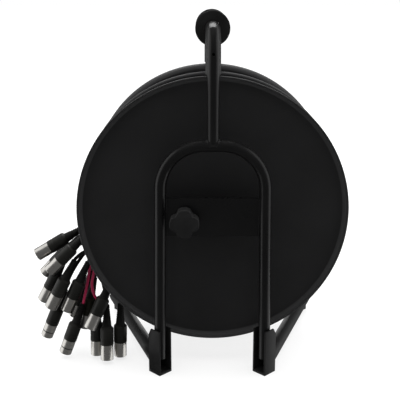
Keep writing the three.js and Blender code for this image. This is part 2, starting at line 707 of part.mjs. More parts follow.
function shoe_centre(side_x, side_y) {
  const places = side_y < 0 ? near_places : far_places;
  return new THREE.Vector3(side_x * foot_x(places), side_y * FRAME_PLANE, floor);
}

function placed_at_corner(geometry, side_x, side_y) {
  const centre = shoe_centre(side_x, side_y);
  geometry.rotateZ(shoe_turn(side_x, side_y));
  return geometry.translate(centre.x, centre.y, centre.z);
}

function shoe(side_x, side_y) {
  const outer = block(SHOE_SIDE, SHOE_SIDE, SHOE_HEIGHT).translate(0, 0, SHOE_HEIGHT / 2);
  const depth = SHOE_SIDE + CUT;
  const wall = (SHOE_SIDE - cavity) / 2;
  const hollow = block(cavity, depth, SHOE_HEIGHT);
  hollow.translate(0, SHOE_SIDE / 2 - wall - depth / 2, SOLE_THICKNESS + SHOE_HEIGHT / 2);
  const slope = Math.atan2(CHAMFER_DEPTH, CHAMFER_HEIGHT);
  const reach = CHAMFER_DEPTH + CHAMFER_HEIGHT;
  const bevel = block(SHOE_SIDE + 2 * CUT, reach, 2 * reach).translate(0, reach / 2, 0);
  bevel.rotateX(slope);
  bevel.translate(0, (SHOE_SIDE - CHAMFER_DEPTH) / 2, SHOE_HEIGHT - CHAMFER_HEIGHT / 2);
  return placed_at_corner(less(outer, hollow, bevel), side_x, side_y);
}

function web_centre(side_x, side_y) {
  const offset = new THREE.Vector3(0, SHOE_SIDE / 2, 0);
  offset.applyAxisAngle(new THREE.Vector3(0, 0, 1), shoe_turn(side_x, side_y));
  return shoe_centre(side_x, side_y).add(offset).setZ(floor + RAIL_HEIGHT);
}

function rail(side_x) {
  const near = web_centre(side_x, -1);
  const far = web_centre(side_x, 1);
  const along = far.clone().sub(near).setLength(SHOE_SIDE / 2);
  const tube = swept([near.clone().sub(along), far.clone().add(along)], RAIL_TUBE / 2, 20, RAIL_TUBE / 2 - RAIL_WALL);
  const room = (side_y) => {
    const size = SHOE_SIDE + 2 * CUT;
    const cutter = block(2 * size, size, SHOE_HEIGHT).translate(0, SHOE_SIDE / 2 + GAP - size / 2, SHOE_HEIGHT / 2);
    return placed_at_corner(cutter, side_x, side_y);
  };
  return less(tube, room(-1), room(1));
}

// The brake: a screw whose pad presses on the near flange

function brake_knob() {
  const outline = new THREE.Shape();
  const points = 64;
  for (let i = 0; i < points; i++) {
    const angle = (2 * Math.PI * i) / points;
    const wave = ((1 - Math.cos(KNOB_LOBES * angle)) / 2) ** KNOB_NOTCH;
    const radius = KNOB_RADIUS * (1 - KNOB_LOBE_SHARE * wave);
    const place = [radius * Math.sin(angle), radius * Math.cos(angle)];
    if (i === 0) outline.moveTo(...place);
    else outline.lineTo(...place);
  }
  outline.closePath();
  const star = new THREE.ExtrudeGeometry(outline, { depth: KNOB_THICKNESS, bevelEnabled: false });
  star.rotateX(Math.PI / 2);
  star.translate(0, KNOB_THICKNESS - KNOB_FRONT, 0);
  const hub = rod(KNOB_HUB_RADIUS, -KNOB_BACK - KNOB_HUB_LENGTH - KNOB_THICKNESS / 2, -KNOB_BACK);
  const bore = rod(STUD_RADIUS + GAP, -KNOB_BACK - STUD_GRIP - GAP, -KNOB_BACK + CUT);
  return less(joined(star, hub), bore).translate(-KNOB_SIDE, 0, -KNOB_DROP);
}

const pad_back = -FACE_PLANE - PAD_LIFT;

const brake_stud = () =>
  rod(STUD_RADIUS, -KNOB_BACK - STUD_GRIP, pad_back - PAD_THICKNESS + STUD_SEAT - GAP).translate(-KNOB_SIDE, 0, -KNOB_DROP);

function brake_pad() {
  const front = pad_back - PAD_THICKNESS;
  const disc = rod(PAD_RADIUS, front, pad_back);
  const seat = rod(STUD_RADIUS + GAP, front - CUT, front + STUD_SEAT);
  return less(disc, seat).translate(-KNOB_SIDE, 0, -KNOB_DROP);
}

// The assembly

const reel = new THREE.Group();
reel.position.set(0, -MIDDLE, AXIS_HEIGHT);

function add(name, geometry, material) {
  const mesh = new THREE.Mesh(geometry, material);
  mesh.name = name;
  reel.add(mesh);
}

add("near_arch", bent_tube(near_places), black_paint);
add("far_arch", bent_tube(far_places), black_paint);
add("near_upright", upright(-1, near_places), black_paint);
add("far_upright", upright(1, far_places), black_paint);
add("near_axle_plate", near_plate(), black_paint);
add("far_axle_plate", far_plate(), black_paint);
add("near_bush", near_bush(), bronze);
add("far_bush", far_bush(), bronze);
add("left_rail", rail(-1), black_paint);
add("right_rail", rail(1), black_paint);
add("near_left_shoe", shoe(-1, -1), black_plastic);
add("near_right_shoe", shoe(1, -1), black_plastic);
add("far_left_shoe", shoe(-1, 1), black_plastic);
add("far_right_shoe", shoe(1, 1), black_plastic);
add("handle_tube", handle_tube(), black_paint);
add("handle_grip", handle_grip(), soft_rubber);
add("near_handle_bolt", handle_bolt(-1), bare_steel);
add("far_handle_bolt", handle_bolt(1), bare_steel);

add("near_flange", flange(-1), drum_paint);
add("partition_flange", partition(), drum_paint);
add("far_flange", flange(1), drum_paint);
add("drum_core", drum_core(), drum_paint);
add("drum_shaft", drum_shaft(), bare_steel);
add("cable_inner_layers", inner_layers(), cable_jacket);
add("cable_outer_layer", outer_layer(), cable_jacket);
add("multicore_lead", lead(), cable_jacket);
add("breakout_boot", boot(), soft_rubber);
add("crank_arm", crank_arm(), black_paint);
add("crank_knob", crank_knob(), black_plastic);

add("brake_knob", brake_knob(), black_plastic);
add("brake_stud", brake_stud(), bare_steel);
add("brake_pad", brake_pad(), soft_rubber);

TAILS.forEach((places, i) => {
  const number = String(i + 1).padStart(2, "0");
  add("tail_" + number, tail(places), cable_jacket);
  add("connector_" + number, connector(places), satin_nickel);
});

export default reel;
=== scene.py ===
# %% [markdown]
# # A stage cable reel
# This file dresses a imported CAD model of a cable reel: a drum between two tubular side frames, with a brake, a crank,
# a carrying handle and the fan-out of the multicore that is wound on it. The CAD nodes fix every size and every joint.
# Here all but two bolts are swapped for finer pieces in the same place, and every surface gets its finish.
# The CAD model comes in first, because the bench's origin and the camera are both set out from it.

import math
from math import cos, pi, radians, sin

import bmesh
import bpy
from mathutils import Matrix, Vector


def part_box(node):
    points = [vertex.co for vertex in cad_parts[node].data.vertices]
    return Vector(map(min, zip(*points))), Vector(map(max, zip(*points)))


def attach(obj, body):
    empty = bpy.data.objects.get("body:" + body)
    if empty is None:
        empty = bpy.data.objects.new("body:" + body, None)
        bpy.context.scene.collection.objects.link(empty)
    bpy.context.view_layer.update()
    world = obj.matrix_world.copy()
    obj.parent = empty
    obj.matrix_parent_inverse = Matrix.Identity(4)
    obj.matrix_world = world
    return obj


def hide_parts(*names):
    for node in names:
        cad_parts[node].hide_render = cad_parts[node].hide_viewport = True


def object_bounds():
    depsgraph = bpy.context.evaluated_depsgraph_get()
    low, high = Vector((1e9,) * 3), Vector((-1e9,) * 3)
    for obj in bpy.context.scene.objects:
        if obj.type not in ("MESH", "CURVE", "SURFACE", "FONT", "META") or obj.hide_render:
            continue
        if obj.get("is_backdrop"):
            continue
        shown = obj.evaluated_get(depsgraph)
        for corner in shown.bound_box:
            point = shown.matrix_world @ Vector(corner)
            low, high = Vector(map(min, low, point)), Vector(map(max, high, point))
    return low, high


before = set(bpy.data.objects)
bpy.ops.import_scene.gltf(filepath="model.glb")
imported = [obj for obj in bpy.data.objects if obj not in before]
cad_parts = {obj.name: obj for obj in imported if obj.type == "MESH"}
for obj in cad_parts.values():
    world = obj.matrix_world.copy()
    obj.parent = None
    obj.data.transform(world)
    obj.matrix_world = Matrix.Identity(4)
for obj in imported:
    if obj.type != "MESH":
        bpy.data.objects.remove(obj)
cad_box = [list(corner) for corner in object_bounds()]
link = bpy.context.scene.collection.objects.link  # puts an object in the scene

# %% [markdown]
# ## The camera
# A photograph fixes one viewpoint. The ellipses of the drum's rims give its height and distance, and the upright lines
# of the frame show that it isn't rolled. A long lens keeps the drum's two flanges almost the same size, so the camera
# stands over a metre away and looks down by some 15 degrees.

# %% The camera
CAMERA_PLACE = (-0.0175, -1.13575, 0.5308)
CAMERA_DOWN = 15.2485  # degrees
CAMERA_LENS = 68.72
CAMERA_SENSOR = 36

lens = bpy.data.cameras.new("camera")
lens.lens = CAMERA_LENS
lens.sensor_width = CAMERA_SENSOR
camera = bpy.data.objects.new("camera", lens)
camera.location = CAMERA_PLACE
camera.rotation_euler = (radians(90 - CAMERA_DOWN), 0, 0)
link(camera)
bpy.context.scene.camera = camera
bpy.context.scene.view_settings.view_transform = "Standard"
print("camera at", [round(x, 3) for x in camera.location])

# %% [markdown]
# ## The studio
# Black paint has almost no colour of its own, so its shape is read from what it reflects. Two tall soft boxes stand
# left and right of the reel and reach below the floor, and draw a bright line down each side of every tube. A box set
# back overhead and a backdrop edge its top. A ceiling that reflections don't see gives the plain light. The world is
# white to the camera, but dim in reflections and on surfaces, so the black stays black between its bright lines.
# Each shader here and below is wired by the same few functions.

# %% Soft boxes and the world
WHITE = (1, 1, 1, 1)
REEL_MIDDLE = Vector((0, 0, 0.23))
MIRRORED, FILL = 0.2, 0.34  # the world's strength in reflections, and on surfaces
LAMPS = {  # width, height, watts and place
    "left_box": (2.0, 3.0, 31, (-1.5, 0, 0.3)),
    "right_box": (2.0, 3.0, 31, (1.5, 0, 0.3)),
    "top_box": (1.3, 1.2, 34, (0, 0.85, 1.9)),
    "ceiling": (4, 4, 140, (0, 0, 2.8)),
    "backdrop": (1.2, 2.4, 11, (0, 2.2, 0.9)),
}
for name, (width, height, power, place) in LAMPS.items():
    light = bpy.data.lights.new(name, "AREA")
    light.shape = "RECTANGLE"
    light.size, light.size_y = width, height
    light.energy = power
    lamp = bpy.data.objects.new(name, light)
    lamp.location = place
    lamp.rotation_euler = (REEL_MIDDLE - Vector(place)).to_track_quat("-Z", "Y").to_euler()
    lamp.visible_camera = False
    lamp.visible_glossy = name != "ceiling"
    link(lamp)


def wire(tree, node, inputs, output=0):
    """Gives a node's inputs their values or links, and returns one of its outputs, if it has any."""
    for label, value in inputs.items():
        if isinstance(value, bpy.types.NodeSocket):
            tree.links.new(value, node.inputs[label])
        else:
            node.inputs[label].default_value = value
    return node.outputs[output] if node.outputs else None


def add(tree, kind, inputs, output=0):
    return wire(tree, tree.nodes.new("ShaderNode" + kind), inputs, output)


def math_node(tree, operation, *values, kind="Math", output=0):
    node = tree.nodes.new("ShaderNode" + kind)
    node.operation = operation
    return wire(tree, node, dict(enumerate(values)), output)


def between(tree, value, low, high, to_low=0, to_high=1, curve="SMOOTHSTEP"):
    node = tree.nodes.new("ShaderNodeMapRange")
    node.interpolation_type = curve
    return wire(tree, node, {"Value": value, "From Min": low, "From Max": high, "To Min": to_low, "To Max": to_high})


def by_ray(tree, ray, value, otherwise):
    """One value for the rays of one kind, and another for all the rest."""
    return between(tree, add(tree, "LightPath", {}, ray), 0, 1, otherwise, value, "LINEAR")


world = bpy.data.worlds.new("studio")
bpy.context.scene.world = world
world.use_nodes = True
tree = world.node_tree
tree.nodes.clear()
fill = add(tree, "Background", {"Color": WHITE, "Strength": by_ray(tree, "Is Glossy Ray", MIRRORED, FILL)})
seen = add(tree, "Background", {"Color": WHITE, "Strength": 1})
mixed = add(tree, "MixShader", {0: by_ray(tree, "Is Camera Ray", 1, 0), 1: fill, 2: seen})
add(tree, "OutputWorld", {"Surface": mixed})

# %% [markdown]
# ## The floor
# The reel stands on a matt sheet that takes its shadow. A glow that only the camera sees lifts the sheet towards paper
# white. It rises with the distance, so the shadow is kept near the reel and the sheet's far edge can't be seen. The
# reflections leave the floor out.

# %% The floor
FLOOR_SIDE = 60
FLOOR_COLOR, FLOOR_BOUNCE = 0.22, 0.4  # as the camera sees it, and as it lights the reel
FLOOR_ROUGHNESS = 0.9
FLOOR_GLOW = 0.78
GLOW_NEAR, GLOW_FAR = 0.45, 1.3  # from here to there the glow rises to full white

paper = bpy.data.materials.new("paper")
paper.use_nodes = True
tree = paper.node_tree
sheet = wire(tree, tree.nodes["Principled BSDF"], {
    "Base Color": by_ray(tree, "Is Camera Ray", FLOOR_COLOR, FLOOR_BOUNCE), "Roughness": FLOOR_ROUGHNESS,
    "Specular IOR Level": 0})
away = math_node(tree, "LENGTH", add(tree, "TexCoord", {}, "Object"), kind="VectorMath", output="Value")
rising = between(tree, away, GLOW_NEAR, GLOW_FAR, FLOOR_GLOW)
strength = math_node(tree, "MULTIPLY", rising, by_ray(tree, "Is Camera Ray", 1, 0))
glow = add(tree, "Emission", {"Color": WHITE, "Strength": strength})
wire(tree, tree.nodes["Material Output"], {"Surface": add(tree, "AddShader", {0: sheet, 1: glow})})


def mesh_of(name, shape):
    mesh = bpy.data.meshes.new(name)
    shape.to_mesh(mesh)
    shape.free()
    return mesh


shape = bmesh.new()
bmesh.ops.create_grid(shape, x_segments=1, y_segments=1, size=FLOOR_SIDE / 2)
floor = bpy.data.objects.new("floor", mesh_of("floor", shape))
floor.data.materials.append(paper)
link(floor)
floor.visible_glossy = False
floor.visible_shadow = False
floor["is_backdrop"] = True
print("floor:", FLOOR_SIDE, "m square")

# %% [markdown]
# ## Shader groups
# Three effects turn up in nearly every finish, so each is a node group with named inputs. Fine grain is the orange
# peel of powder coat and the tooth of moulded plastic. Scuffs are the thin rubbed patches of a reel that rides in a
# truck. Dust settles on what faces up. Each group reads object coordinates, so a pattern stays on its piece as it
# moves.

# %% Shader groups
MOTTLE_SHARE = 0.02  # the mottle is this much coarser than the grain
RUB_SIZE, SCRATCH_SIZE, DUST_SIZE = 26, 900, 70  # the noises' scales


def shader_group(name, outputs, **inputs):
    """Starts a group. An input is a vector where it has no default, and a number where it has one."""
    tree = bpy.data.node_groups.new(name, "ShaderNodeTree")
    for label, value in inputs.items():
        kind = "NodeSocketVector" if value is None else "NodeSocketFloat"
        socket = tree.interface.new_socket(name=label, in_out="INPUT", socket_type=kind)
        if value is not None:
            socket.default_value = value
    for label in outputs:
        tree.interface.new_socket(name=label, in_out="OUTPUT", socket_type="NodeSocketFloat")
    return tree, tree.nodes.new("NodeGroupInput").outputs, tree.nodes.new("NodeGroupOutput")


def noise(tree, place, scale, detail, roughness=0.5):
    return add(tree, "TexNoise", {"Vector": place, "Scale": scale, "Detail": detail, "Roughness": roughness}, "Fac")


tree, given, result = shader_group("fine_grain", ["Height", "Mottle"], Place=None, Grains=900.0)
grain_group = tree
coarse = noise(tree, given["Place"], math_node(tree, "MULTIPLY", given["Grains"], MOTTLE_SHARE), 4)
wire(tree, result, {"Height": noise(tree, given["Place"], given["Grains"], 4, 0.6),
                    "Mottle": between(tree, coarse, 0.3, 0.7)})

tree, given, result = shader_group("scuffs", ["Mask"], Place=None, Amount=0.2)
scuff_group = tree
where = between(tree, noise(tree, given["Place"], RUB_SIZE, 4, 0.65), 0.56, 0.74)
stretch = add(tree, "Mapping", {"Vector": given["Place"], "Scale": (1, 1, 0.12), "Rotation": (0.5, 0.9, 0.3)})
lines = between(tree, noise(tree, stretch, SCRATCH_SIZE, 2, 0.7), 0.58, 0.68)
rubbed = math_node(tree, "MULTIPLY", where, lines)
wire(tree, result, {"Mask": math_node(tree, "MULTIPLY", rubbed, given["Amount"])})

tree, given, result = shader_group("dust", ["Mask"], Place=None, Facing=None, Amount=0.1)
dust_group = tree
upward = between(tree, add(tree, "SeparateXYZ", {0: given["Facing"]}, "Z"), 0.1, 1)
patchy = between(tree, noise(tree, given["Place"], DUST_SIZE, 5, 0.6), 0.3, 0.8)
settled = math_node(tree, "MULTIPLY", upward, patchy)
wire(tree, result, {"Mask": math_node(tree, "MULTIPLY", settled, given["Amount"])})
print("shader groups:", [g.name for g in bpy.data.node_groups])

# %% [markdown]
# ## Finishes
# One function builds every finish from the three groups, and a finish is then a line of values: its colour, its
# gloss, how coarse its grain is and how worn it looks. Scuffs rub a black paint to a greyer patch, and dust dulls it.
# Values that are the same all over sit on the shader's own sockets.

# %% Finishes
DUST_COLOR = (0.08, 0.076, 0.072)
GLOSS_RANGE = 0.1


def group_node(tree, group, inputs, output="Mask"):
    node = tree.nodes.new("ShaderNodeGroup")
    node.node_tree = group
    return wire(tree, node, inputs, output)


def blend_colors(tree, first, second, mask):
    node = tree.nodes.new("ShaderNodeMix")
    node.data_type = "RGBA"
    first, second = (color if isinstance(color, bpy.types.NodeSocket) else (*color, 1) for color in (first, second))
    return wire(tree, node, {"Factor": mask, "A": first, "B": second}, "Result")


def finish(name, color, roughness, specular, grains=900, relief=0.0002, metallic=0.0, mottle=0.25, scuff=0.3,
           rubbed_color=(0.011, 0.011, 0.0115), dust=0.05):
    material = bpy.data.materials.new(name)
    material.use_nodes = True
    tree = material.node_tree
    place = tree.nodes.new("ShaderNodeTexCoord").outputs
    mottled = group_node(tree, grain_group, {"Place": place["Object"], "Grains": grains}, "Mottle")
    scuffs = group_node(tree, scuff_group, {"Place": place["Object"], "Amount": scuff})
    dusty = group_node(tree, dust_group, {"Place": place["Object"], "Facing": place["Normal"], "Amount": dust})

    darker, lighter = ([channel * share for channel in color] for share in (1 - mottle, 1 + mottle))
    worn = blend_colors(tree, blend_colors(tree, darker, lighter, mottled), rubbed_color, scuffs)
    gloss = math_node(tree, "MULTIPLY_ADD", mottled, GLOSS_RANGE, roughness - GLOSS_RANGE / 2)
    height = mottled.node.outputs["Height"]
    wire(tree, tree.nodes["Principled BSDF"], {
        "Base Color": blend_colors(tree, worn, DUST_COLOR, dusty), "Metallic": metallic,
        "Roughness": math_node(tree, "ADD", gloss, dusty), "Specular IOR Level": specular,
        "Normal": add(tree, "Bump", {"Strength": 1, "Distance": relief, "Height": height})})
    return material


tube_paint = finish("tube_paint", (0.00393, 0.00393, 0.00407), 0.3, 0.18, 500, 0.00005, scuff=0.25)
drum_paint = finish("drum_paint", (0.01286, 0.01286, 0.01321), 0.5, 0.11, 650, 0.00012, mottle=0.07)
shoe_plastic = finish("shoe_plastic", (0.00786, 0.00786, 0.00804), 0.5, 0.11, 1100, 0.0001, scuff=0.5)
knob_plastic = finish("knob_plastic", (0.01071, 0.01071, 0.01089), 0.45, 0.11, 1300, 0.00008)
grip_rubber = finish("grip_rubber", (0.00929, 0.00929, 0.00929), 0.75, 0.07, 1500, 0.00015, dust=0.08)
boot_rubber = finish("boot_rubber", (0.00571, 0.00571, 0.00536), 0.6, 0.11, 1500, 0.00012, dust=0.08)
body_lacquer, olive_lacquer = (
    finish(name, color, 0.4, 0.14, 1400, 0.00006, scuff=0.4)
    for name, color in (("body_lacquer", (0.00929, 0.00929, 0.00821)), ("olive_lacquer", (0.00893, 0.00964, 0.005))))
cable_jacket = finish("cable_jacket", (0.005, 0.005, 0.00507), 0.45, 0.14, 800, 0.00015, dust=0.1)
black_jacket = finish("black_jacket", (0.00393, 0.00393, 0.00393), 0.4, 0.14, 1500, 0.00006)
crimson_jacket = finish("crimson_jacket", (0.5, 0.02, 0.09), 0.42, 0.3, 1500, 0.00006,
                        rubbed_color=(0.5, 0.1, 0.12))
nickel = finish("nickel", (0.4, 0.39, 0.37), 0.3, 0.5, 1200, 0.00001, 1, 0.04, 0.35,
                (0.5, 0.49, 0.46), 0)
bare_steel = finish("bare_steel", (0.5, 0.5, 0.5), 0.32, 0.5, 900, 0.00003, 1, 0.08, 0.4,
                    (0.32, 0.3, 0.28), 0.02)
black_steel = finish("black_steel", (0.00429, 0.00429, 0.00429), 0.5, 0.07, relief=0.00003, dust=0)
bronze = finish("bronze", (0.4, 0.26, 0.11), 0.35, 0.5, 900, 0.00004, 1, 0.1,
                rubbed_color=(0.25, 0.16, 0.07))
gilt = finish("gilt", (0.75, 0.55, 0.25), 0.25, 0.5, 900, 0.00002, 1, 0.04,
              rubbed_color=(0.6, 0.45, 0.2), dust=0)

# %% [markdown]
# ## The bench
# A reel is easiest to think of from its own axle, in millimetres. So each mesh is made round the drum's middle and
# moved into the CAD frame at the end, when its object is made. The drum's middle, its radius and its width are read
# off the CAD flanges. The helpers are the few moves that nearly every piece needs: turn a profile on the lathe, run
# a tube straight or round a bend, ease the edges, and join shells.

# %% The bench's origin
MM = 0.001
near_low, near_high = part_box("near_flange")
far_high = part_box("far_flange")[1]
AXLE = Vector((0, (near_low.y + far_high.y) / 2, (near_low.z + near_high.z) / 2))
TO_FRAME = Matrix.Translation(AXLE) @ Matrix.Scale(MM, 4)
FLANGE_RADIUS = (near_high.z - near_low.z) / 2 / MM
RIM_PLANE = (far_high.y - near_low.y) / 2 / MM
FLOOR = -AXLE.z / MM
GAP = 0.3
print("drum radius", round(FLANGE_RADIUS, 2), "half width", round(RIM_PLANE, 2), "floor", round(FLOOR, 2))


# %% The lathe, the tube bender and the file
SEAM = 0.001  # points nearer than this are one point
VERT, EDGE = bmesh.types.BMVert, bmesh.types.BMEdge


def of_kind(items, kind):
    return [item for item in items if isinstance(item, kind)]


def points_on(edges):
    return list({point for edge in edges for point in edge.verts})


def outward(shape):
    bmesh.ops.recalc_face_normals(shape, faces=shape.faces[:])
    return shape


def arc(centre, radius, start, end, steps):
    """Points on an arc, from one angle to another in degrees."""
    angles = [radians(start + (end - start) * i / steps) for i in range(steps + 1)]
    return [(centre[0] + radius * cos(a), centre[1] + radius * sin(a)) for a in angles]


def around(radius, angle, y=0):
    return Vector((radius * cos(angle), y, radius * sin(angle)))


def stood(place, direction):
    """Takes what was made on Z to a place, and stands it along a direction."""
    return Matrix.Translation(place) @ Vector(direction).to_track_quat("Z", "Y").to_matrix().to_4x4()


def turn_to(direction):
    return Vector((0, 1, 0)).rotation_difference(direction).to_matrix()


def square(inner, outer, low, high):
    """The profile of a plain ring."""
    return [(inner, low), (outer, low), (outer, high), (inner, high)]


def corner(radius, y, *steps):
    """Points of a profile, as steps out and up from one place."""
    return [(radius + out, y + up) for out, up in steps]


def sleeve(bore, radius, start, end, chamfer):
    """The profile of a bush that is chamfered at its end."""
    under = math.copysign(chamfer, end - start)
    return [(bore, start), (radius, start), (radius, end - under), (radius - chamfer, end), (bore, end)]


def turned(profile, segments, closed=False):
    """Spins a profile of (radius, y) points about Y. An open one ends on the axis."""
    shape = bmesh.new()
    points = [shape.verts.new((radius, y, 0)) for radius, y in profile]
    pairs = list(zip(points, points[1:])) + ([(points[-1], points[0])] if closed else [])
    line = [shape.edges.new(pair) for pair in pairs]
    bmesh.ops.spin(shape, geom=points + line, cent=(0, 0, 0), axis=(0, 1, 0), angle=2 * pi, steps=segments,
                   use_merge=True)
    bmesh.ops.remove_doubles(shape, verts=shape.verts[:], dist=SEAM)
    return outward(shape)


def ring(profile, segments):
    return turned(profile, segments, closed=True)


def tube_start(radius, place, direction, sides=32):
    shape = bmesh.new()
    bmesh.ops.create_circle(shape, segments=sides, radius=radius, matrix=stood(place, direction))
    return shape, shape.edges[:]


def tube_straight(shape, rim, offset):
    made = bmesh.ops.extrude_edge_only(shape, edges=rim)["geom"]
    points = set(of_kind(made, VERT))
    bmesh.ops.translate(shape, verts=list(points), vec=offset)
    return [edge for edge in of_kind(made, EDGE) if points.issuperset(edge.verts)]


def tube_bend(shape, rim, centre, axis, degrees, steps):
    made = bmesh.ops.spin(shape, geom=rim + points_on(rim), cent=centre, axis=axis, angle=radians(degrees),
                          steps=steps)
    return of_kind(made["geom_last"], EDGE)


def tube_wall(shape, wall, mirror=None):
    """Closes a half into a whole across an axis, where one is given, and gives the skin its wall."""
    if mirror:
        bmesh.ops.mirror(shape, geom=everything(shape), merge_dist=0.01, axis=mirror)
        bmesh.ops.remove_doubles(shape, verts=shape.verts[:], dist=SEAM)
    outward(shape)
    bmesh.ops.solidify(shape, geom=shape.faces[:], thickness=wall)
    return shape


def everything(shape):
    return shape.verts[:] + shape.edges[:] + shape.faces[:]


def pushed(shape, faces, offset, keep=True):
    """Draws faces out along an offset, with walls behind them. The old faces can stay as the other end."""
    made = bmesh.ops.extrude_face_region(shape, geom=faces, use_keep_orig=keep)["geom"]
    bmesh.ops.translate(shape, verts=of_kind(made, VERT), vec=offset)


def eased(shape, width, segments=2, degrees=40):
    """Rounds every edge that is sharper than the angle."""
    limit = radians(degrees)
    sharp = [edge for edge in shape.edges if len(edge.link_faces) == 2 and edge.calc_face_angle() > limit]
    bmesh.ops.bevel(shape, geom=sharp, offset=width, offset_type="OFFSET", affect="EDGES", segments=segments,
                    profile=0.5, material=-1, clamp_overlap=True)
    return shape


def moved(shape, place, turn=None):
    shape.transform(Matrix.Translation(place) @ (turn.to_4x4() if turn else Matrix()))
    return shape


def joined(whole, *others):
    for other in others:
        mesh = mesh_of("joined", other)
        whole.from_mesh(mesh)
        bpy.data.meshes.remove(mesh)
    return whole


def slab(width, depth, height):
    shape = bmesh.new()
    bmesh.ops.create_cube(shape, size=1, matrix=Matrix.Diagonal((width, depth, height, 1)))
    return shape


def dress(piece, material, body, stands_for):
    link(piece)
    piece.data.materials.append(material)
    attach(piece, body)
    if stands_for:
        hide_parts(*stands_for)
    return piece


def make(name, shape, material, body, *stands_for, sharp=35):
    """Turns a finished shape into a piece of the reel."""
    shape.transform(TO_FRAME)
    mesh = mesh_of(name, shape)
    mesh.shade_smooth()
    mesh.set_sharp_from_angle(angle=radians(sharp))
    print(name + ":", len(mesh.polygons), "faces")
    return dress(bpy.data.objects.new(name, mesh), material, body, stands_for)


# %% [markdown]
# ## The cords' routes
# The multicore leaves its winding, drops through the partition's window into the front chamber and ends in a boot,
# from which one thin tail runs to each connector. A cord is one smooth curve of a known length, so it is a poly curve
# with a round bevel, and its line is the same one that the CAD solid follows: straight out of its exit, along listed
# points, and straight into its end. The places repeat the CAD's route, so each cord lies where its solid is.

# %% The line of a cord
CURVE_STEPS = 20


def spline_through(points, count):
    """A centripetal Catmull-Rom curve through points, cut into equal lengths."""
    ends = [2 * points[0] - points[1], *points, 2 * points[-1] - points[-2]]
    dense = []
    for p0, p1, p2, p3 in zip(ends, ends[1:], ends[2:], ends[3:]):
        d0, d1, d2 = (math.sqrt((b - a).length) for a, b in ((p0, p1), (p1, p2), (p2, p3)))
        t1 = ((p1 - p0) / d0 - (p2 - p0) / (d0 + d1) + (p2 - p1) / d1) * d1
        t2 = ((p2 - p1) / d1 - (p3 - p1) / (d1 + d2) + (p3 - p2) / d2) * d1
        for i in range(CURVE_STEPS):
            t = i / CURVE_STEPS
            dense.append(p1 + t1 * t + (3 * (p2 - p1) - 2 * t1 - t2) * t**2 + (2 * (p1 - p2) + t1 + t2) * t**3)
    dense.append(points[-1])
    return evenly(dense, count)


def line_length(points):
    return sum((b - a).length for a, b in zip(points, points[1:]))


def evenly(points, count):
    step, walked, spaced = line_length(points) / count, 0.0, [points[0]]
    for a, b in zip(points, points[1:]):
        run = (b - a).length
        while run > 0 and len(spaced) < count and walked + run >= step * len(spaced):
            spaced.append(a.lerp(b, (step * len(spaced) - walked) / run))
        walked += run
    return [*spaced, points[-1]]


def cord_line(start, leaving, route, arriving, end, diameter, count):
    after = start + leaving * diameter / 2
    before = end - arriving * diameter / 2
    return [start, *spline_through([after, *(Vector(place) for place in route), before], count), end]


def round_cord(name, line, diameter, material, body, *stands_for):
    curve = bpy.data.curves.new(name, "CURVE")
    curve.dimensions = "3D"
    curve.bevel_depth = diameter / 2 * MM
    curve.bevel_resolution = 6
    curve.use_fill_caps = True
    spline = curve.splines.new("POLY")
    spline.points.add(len(line) - 1)
    for point, place in zip(spline.points, line):
        point.co = (*(TO_FRAME @ place), 1)
    spline.use_smooth = True
    return dress(bpy.data.objects.new(name, curve), material, body, stands_for)


# %% Where the cords run
CABLE_DIAMETER = 14
WINDING_RADIUS = 140
WINDING_TURNS = 7
WINDING_NEAR, WINDING_FAR = -24.45, 76.7
LEAD_ANGLE = radians(88)
LEAD_OUT = around(1, LEAD_ANGLE + pi / 2)
MOUTH_ANGLE = radians(198)
MOUTH_REACH = 157
MOUTH_PLANE = -58
MOUTH_OUT, MOUTH_UP = around(1, MOUTH_ANGLE), around(1, MOUTH_ANGLE - pi / 2)
MOUTH = MOUTH_OUT * MOUTH_REACH + Vector((0, MOUTH_PLANE, 0))
BOOT_LENGTH = 30
TAIL_DIAMETER = 5
TAIL_CLEARANCE = 0.95

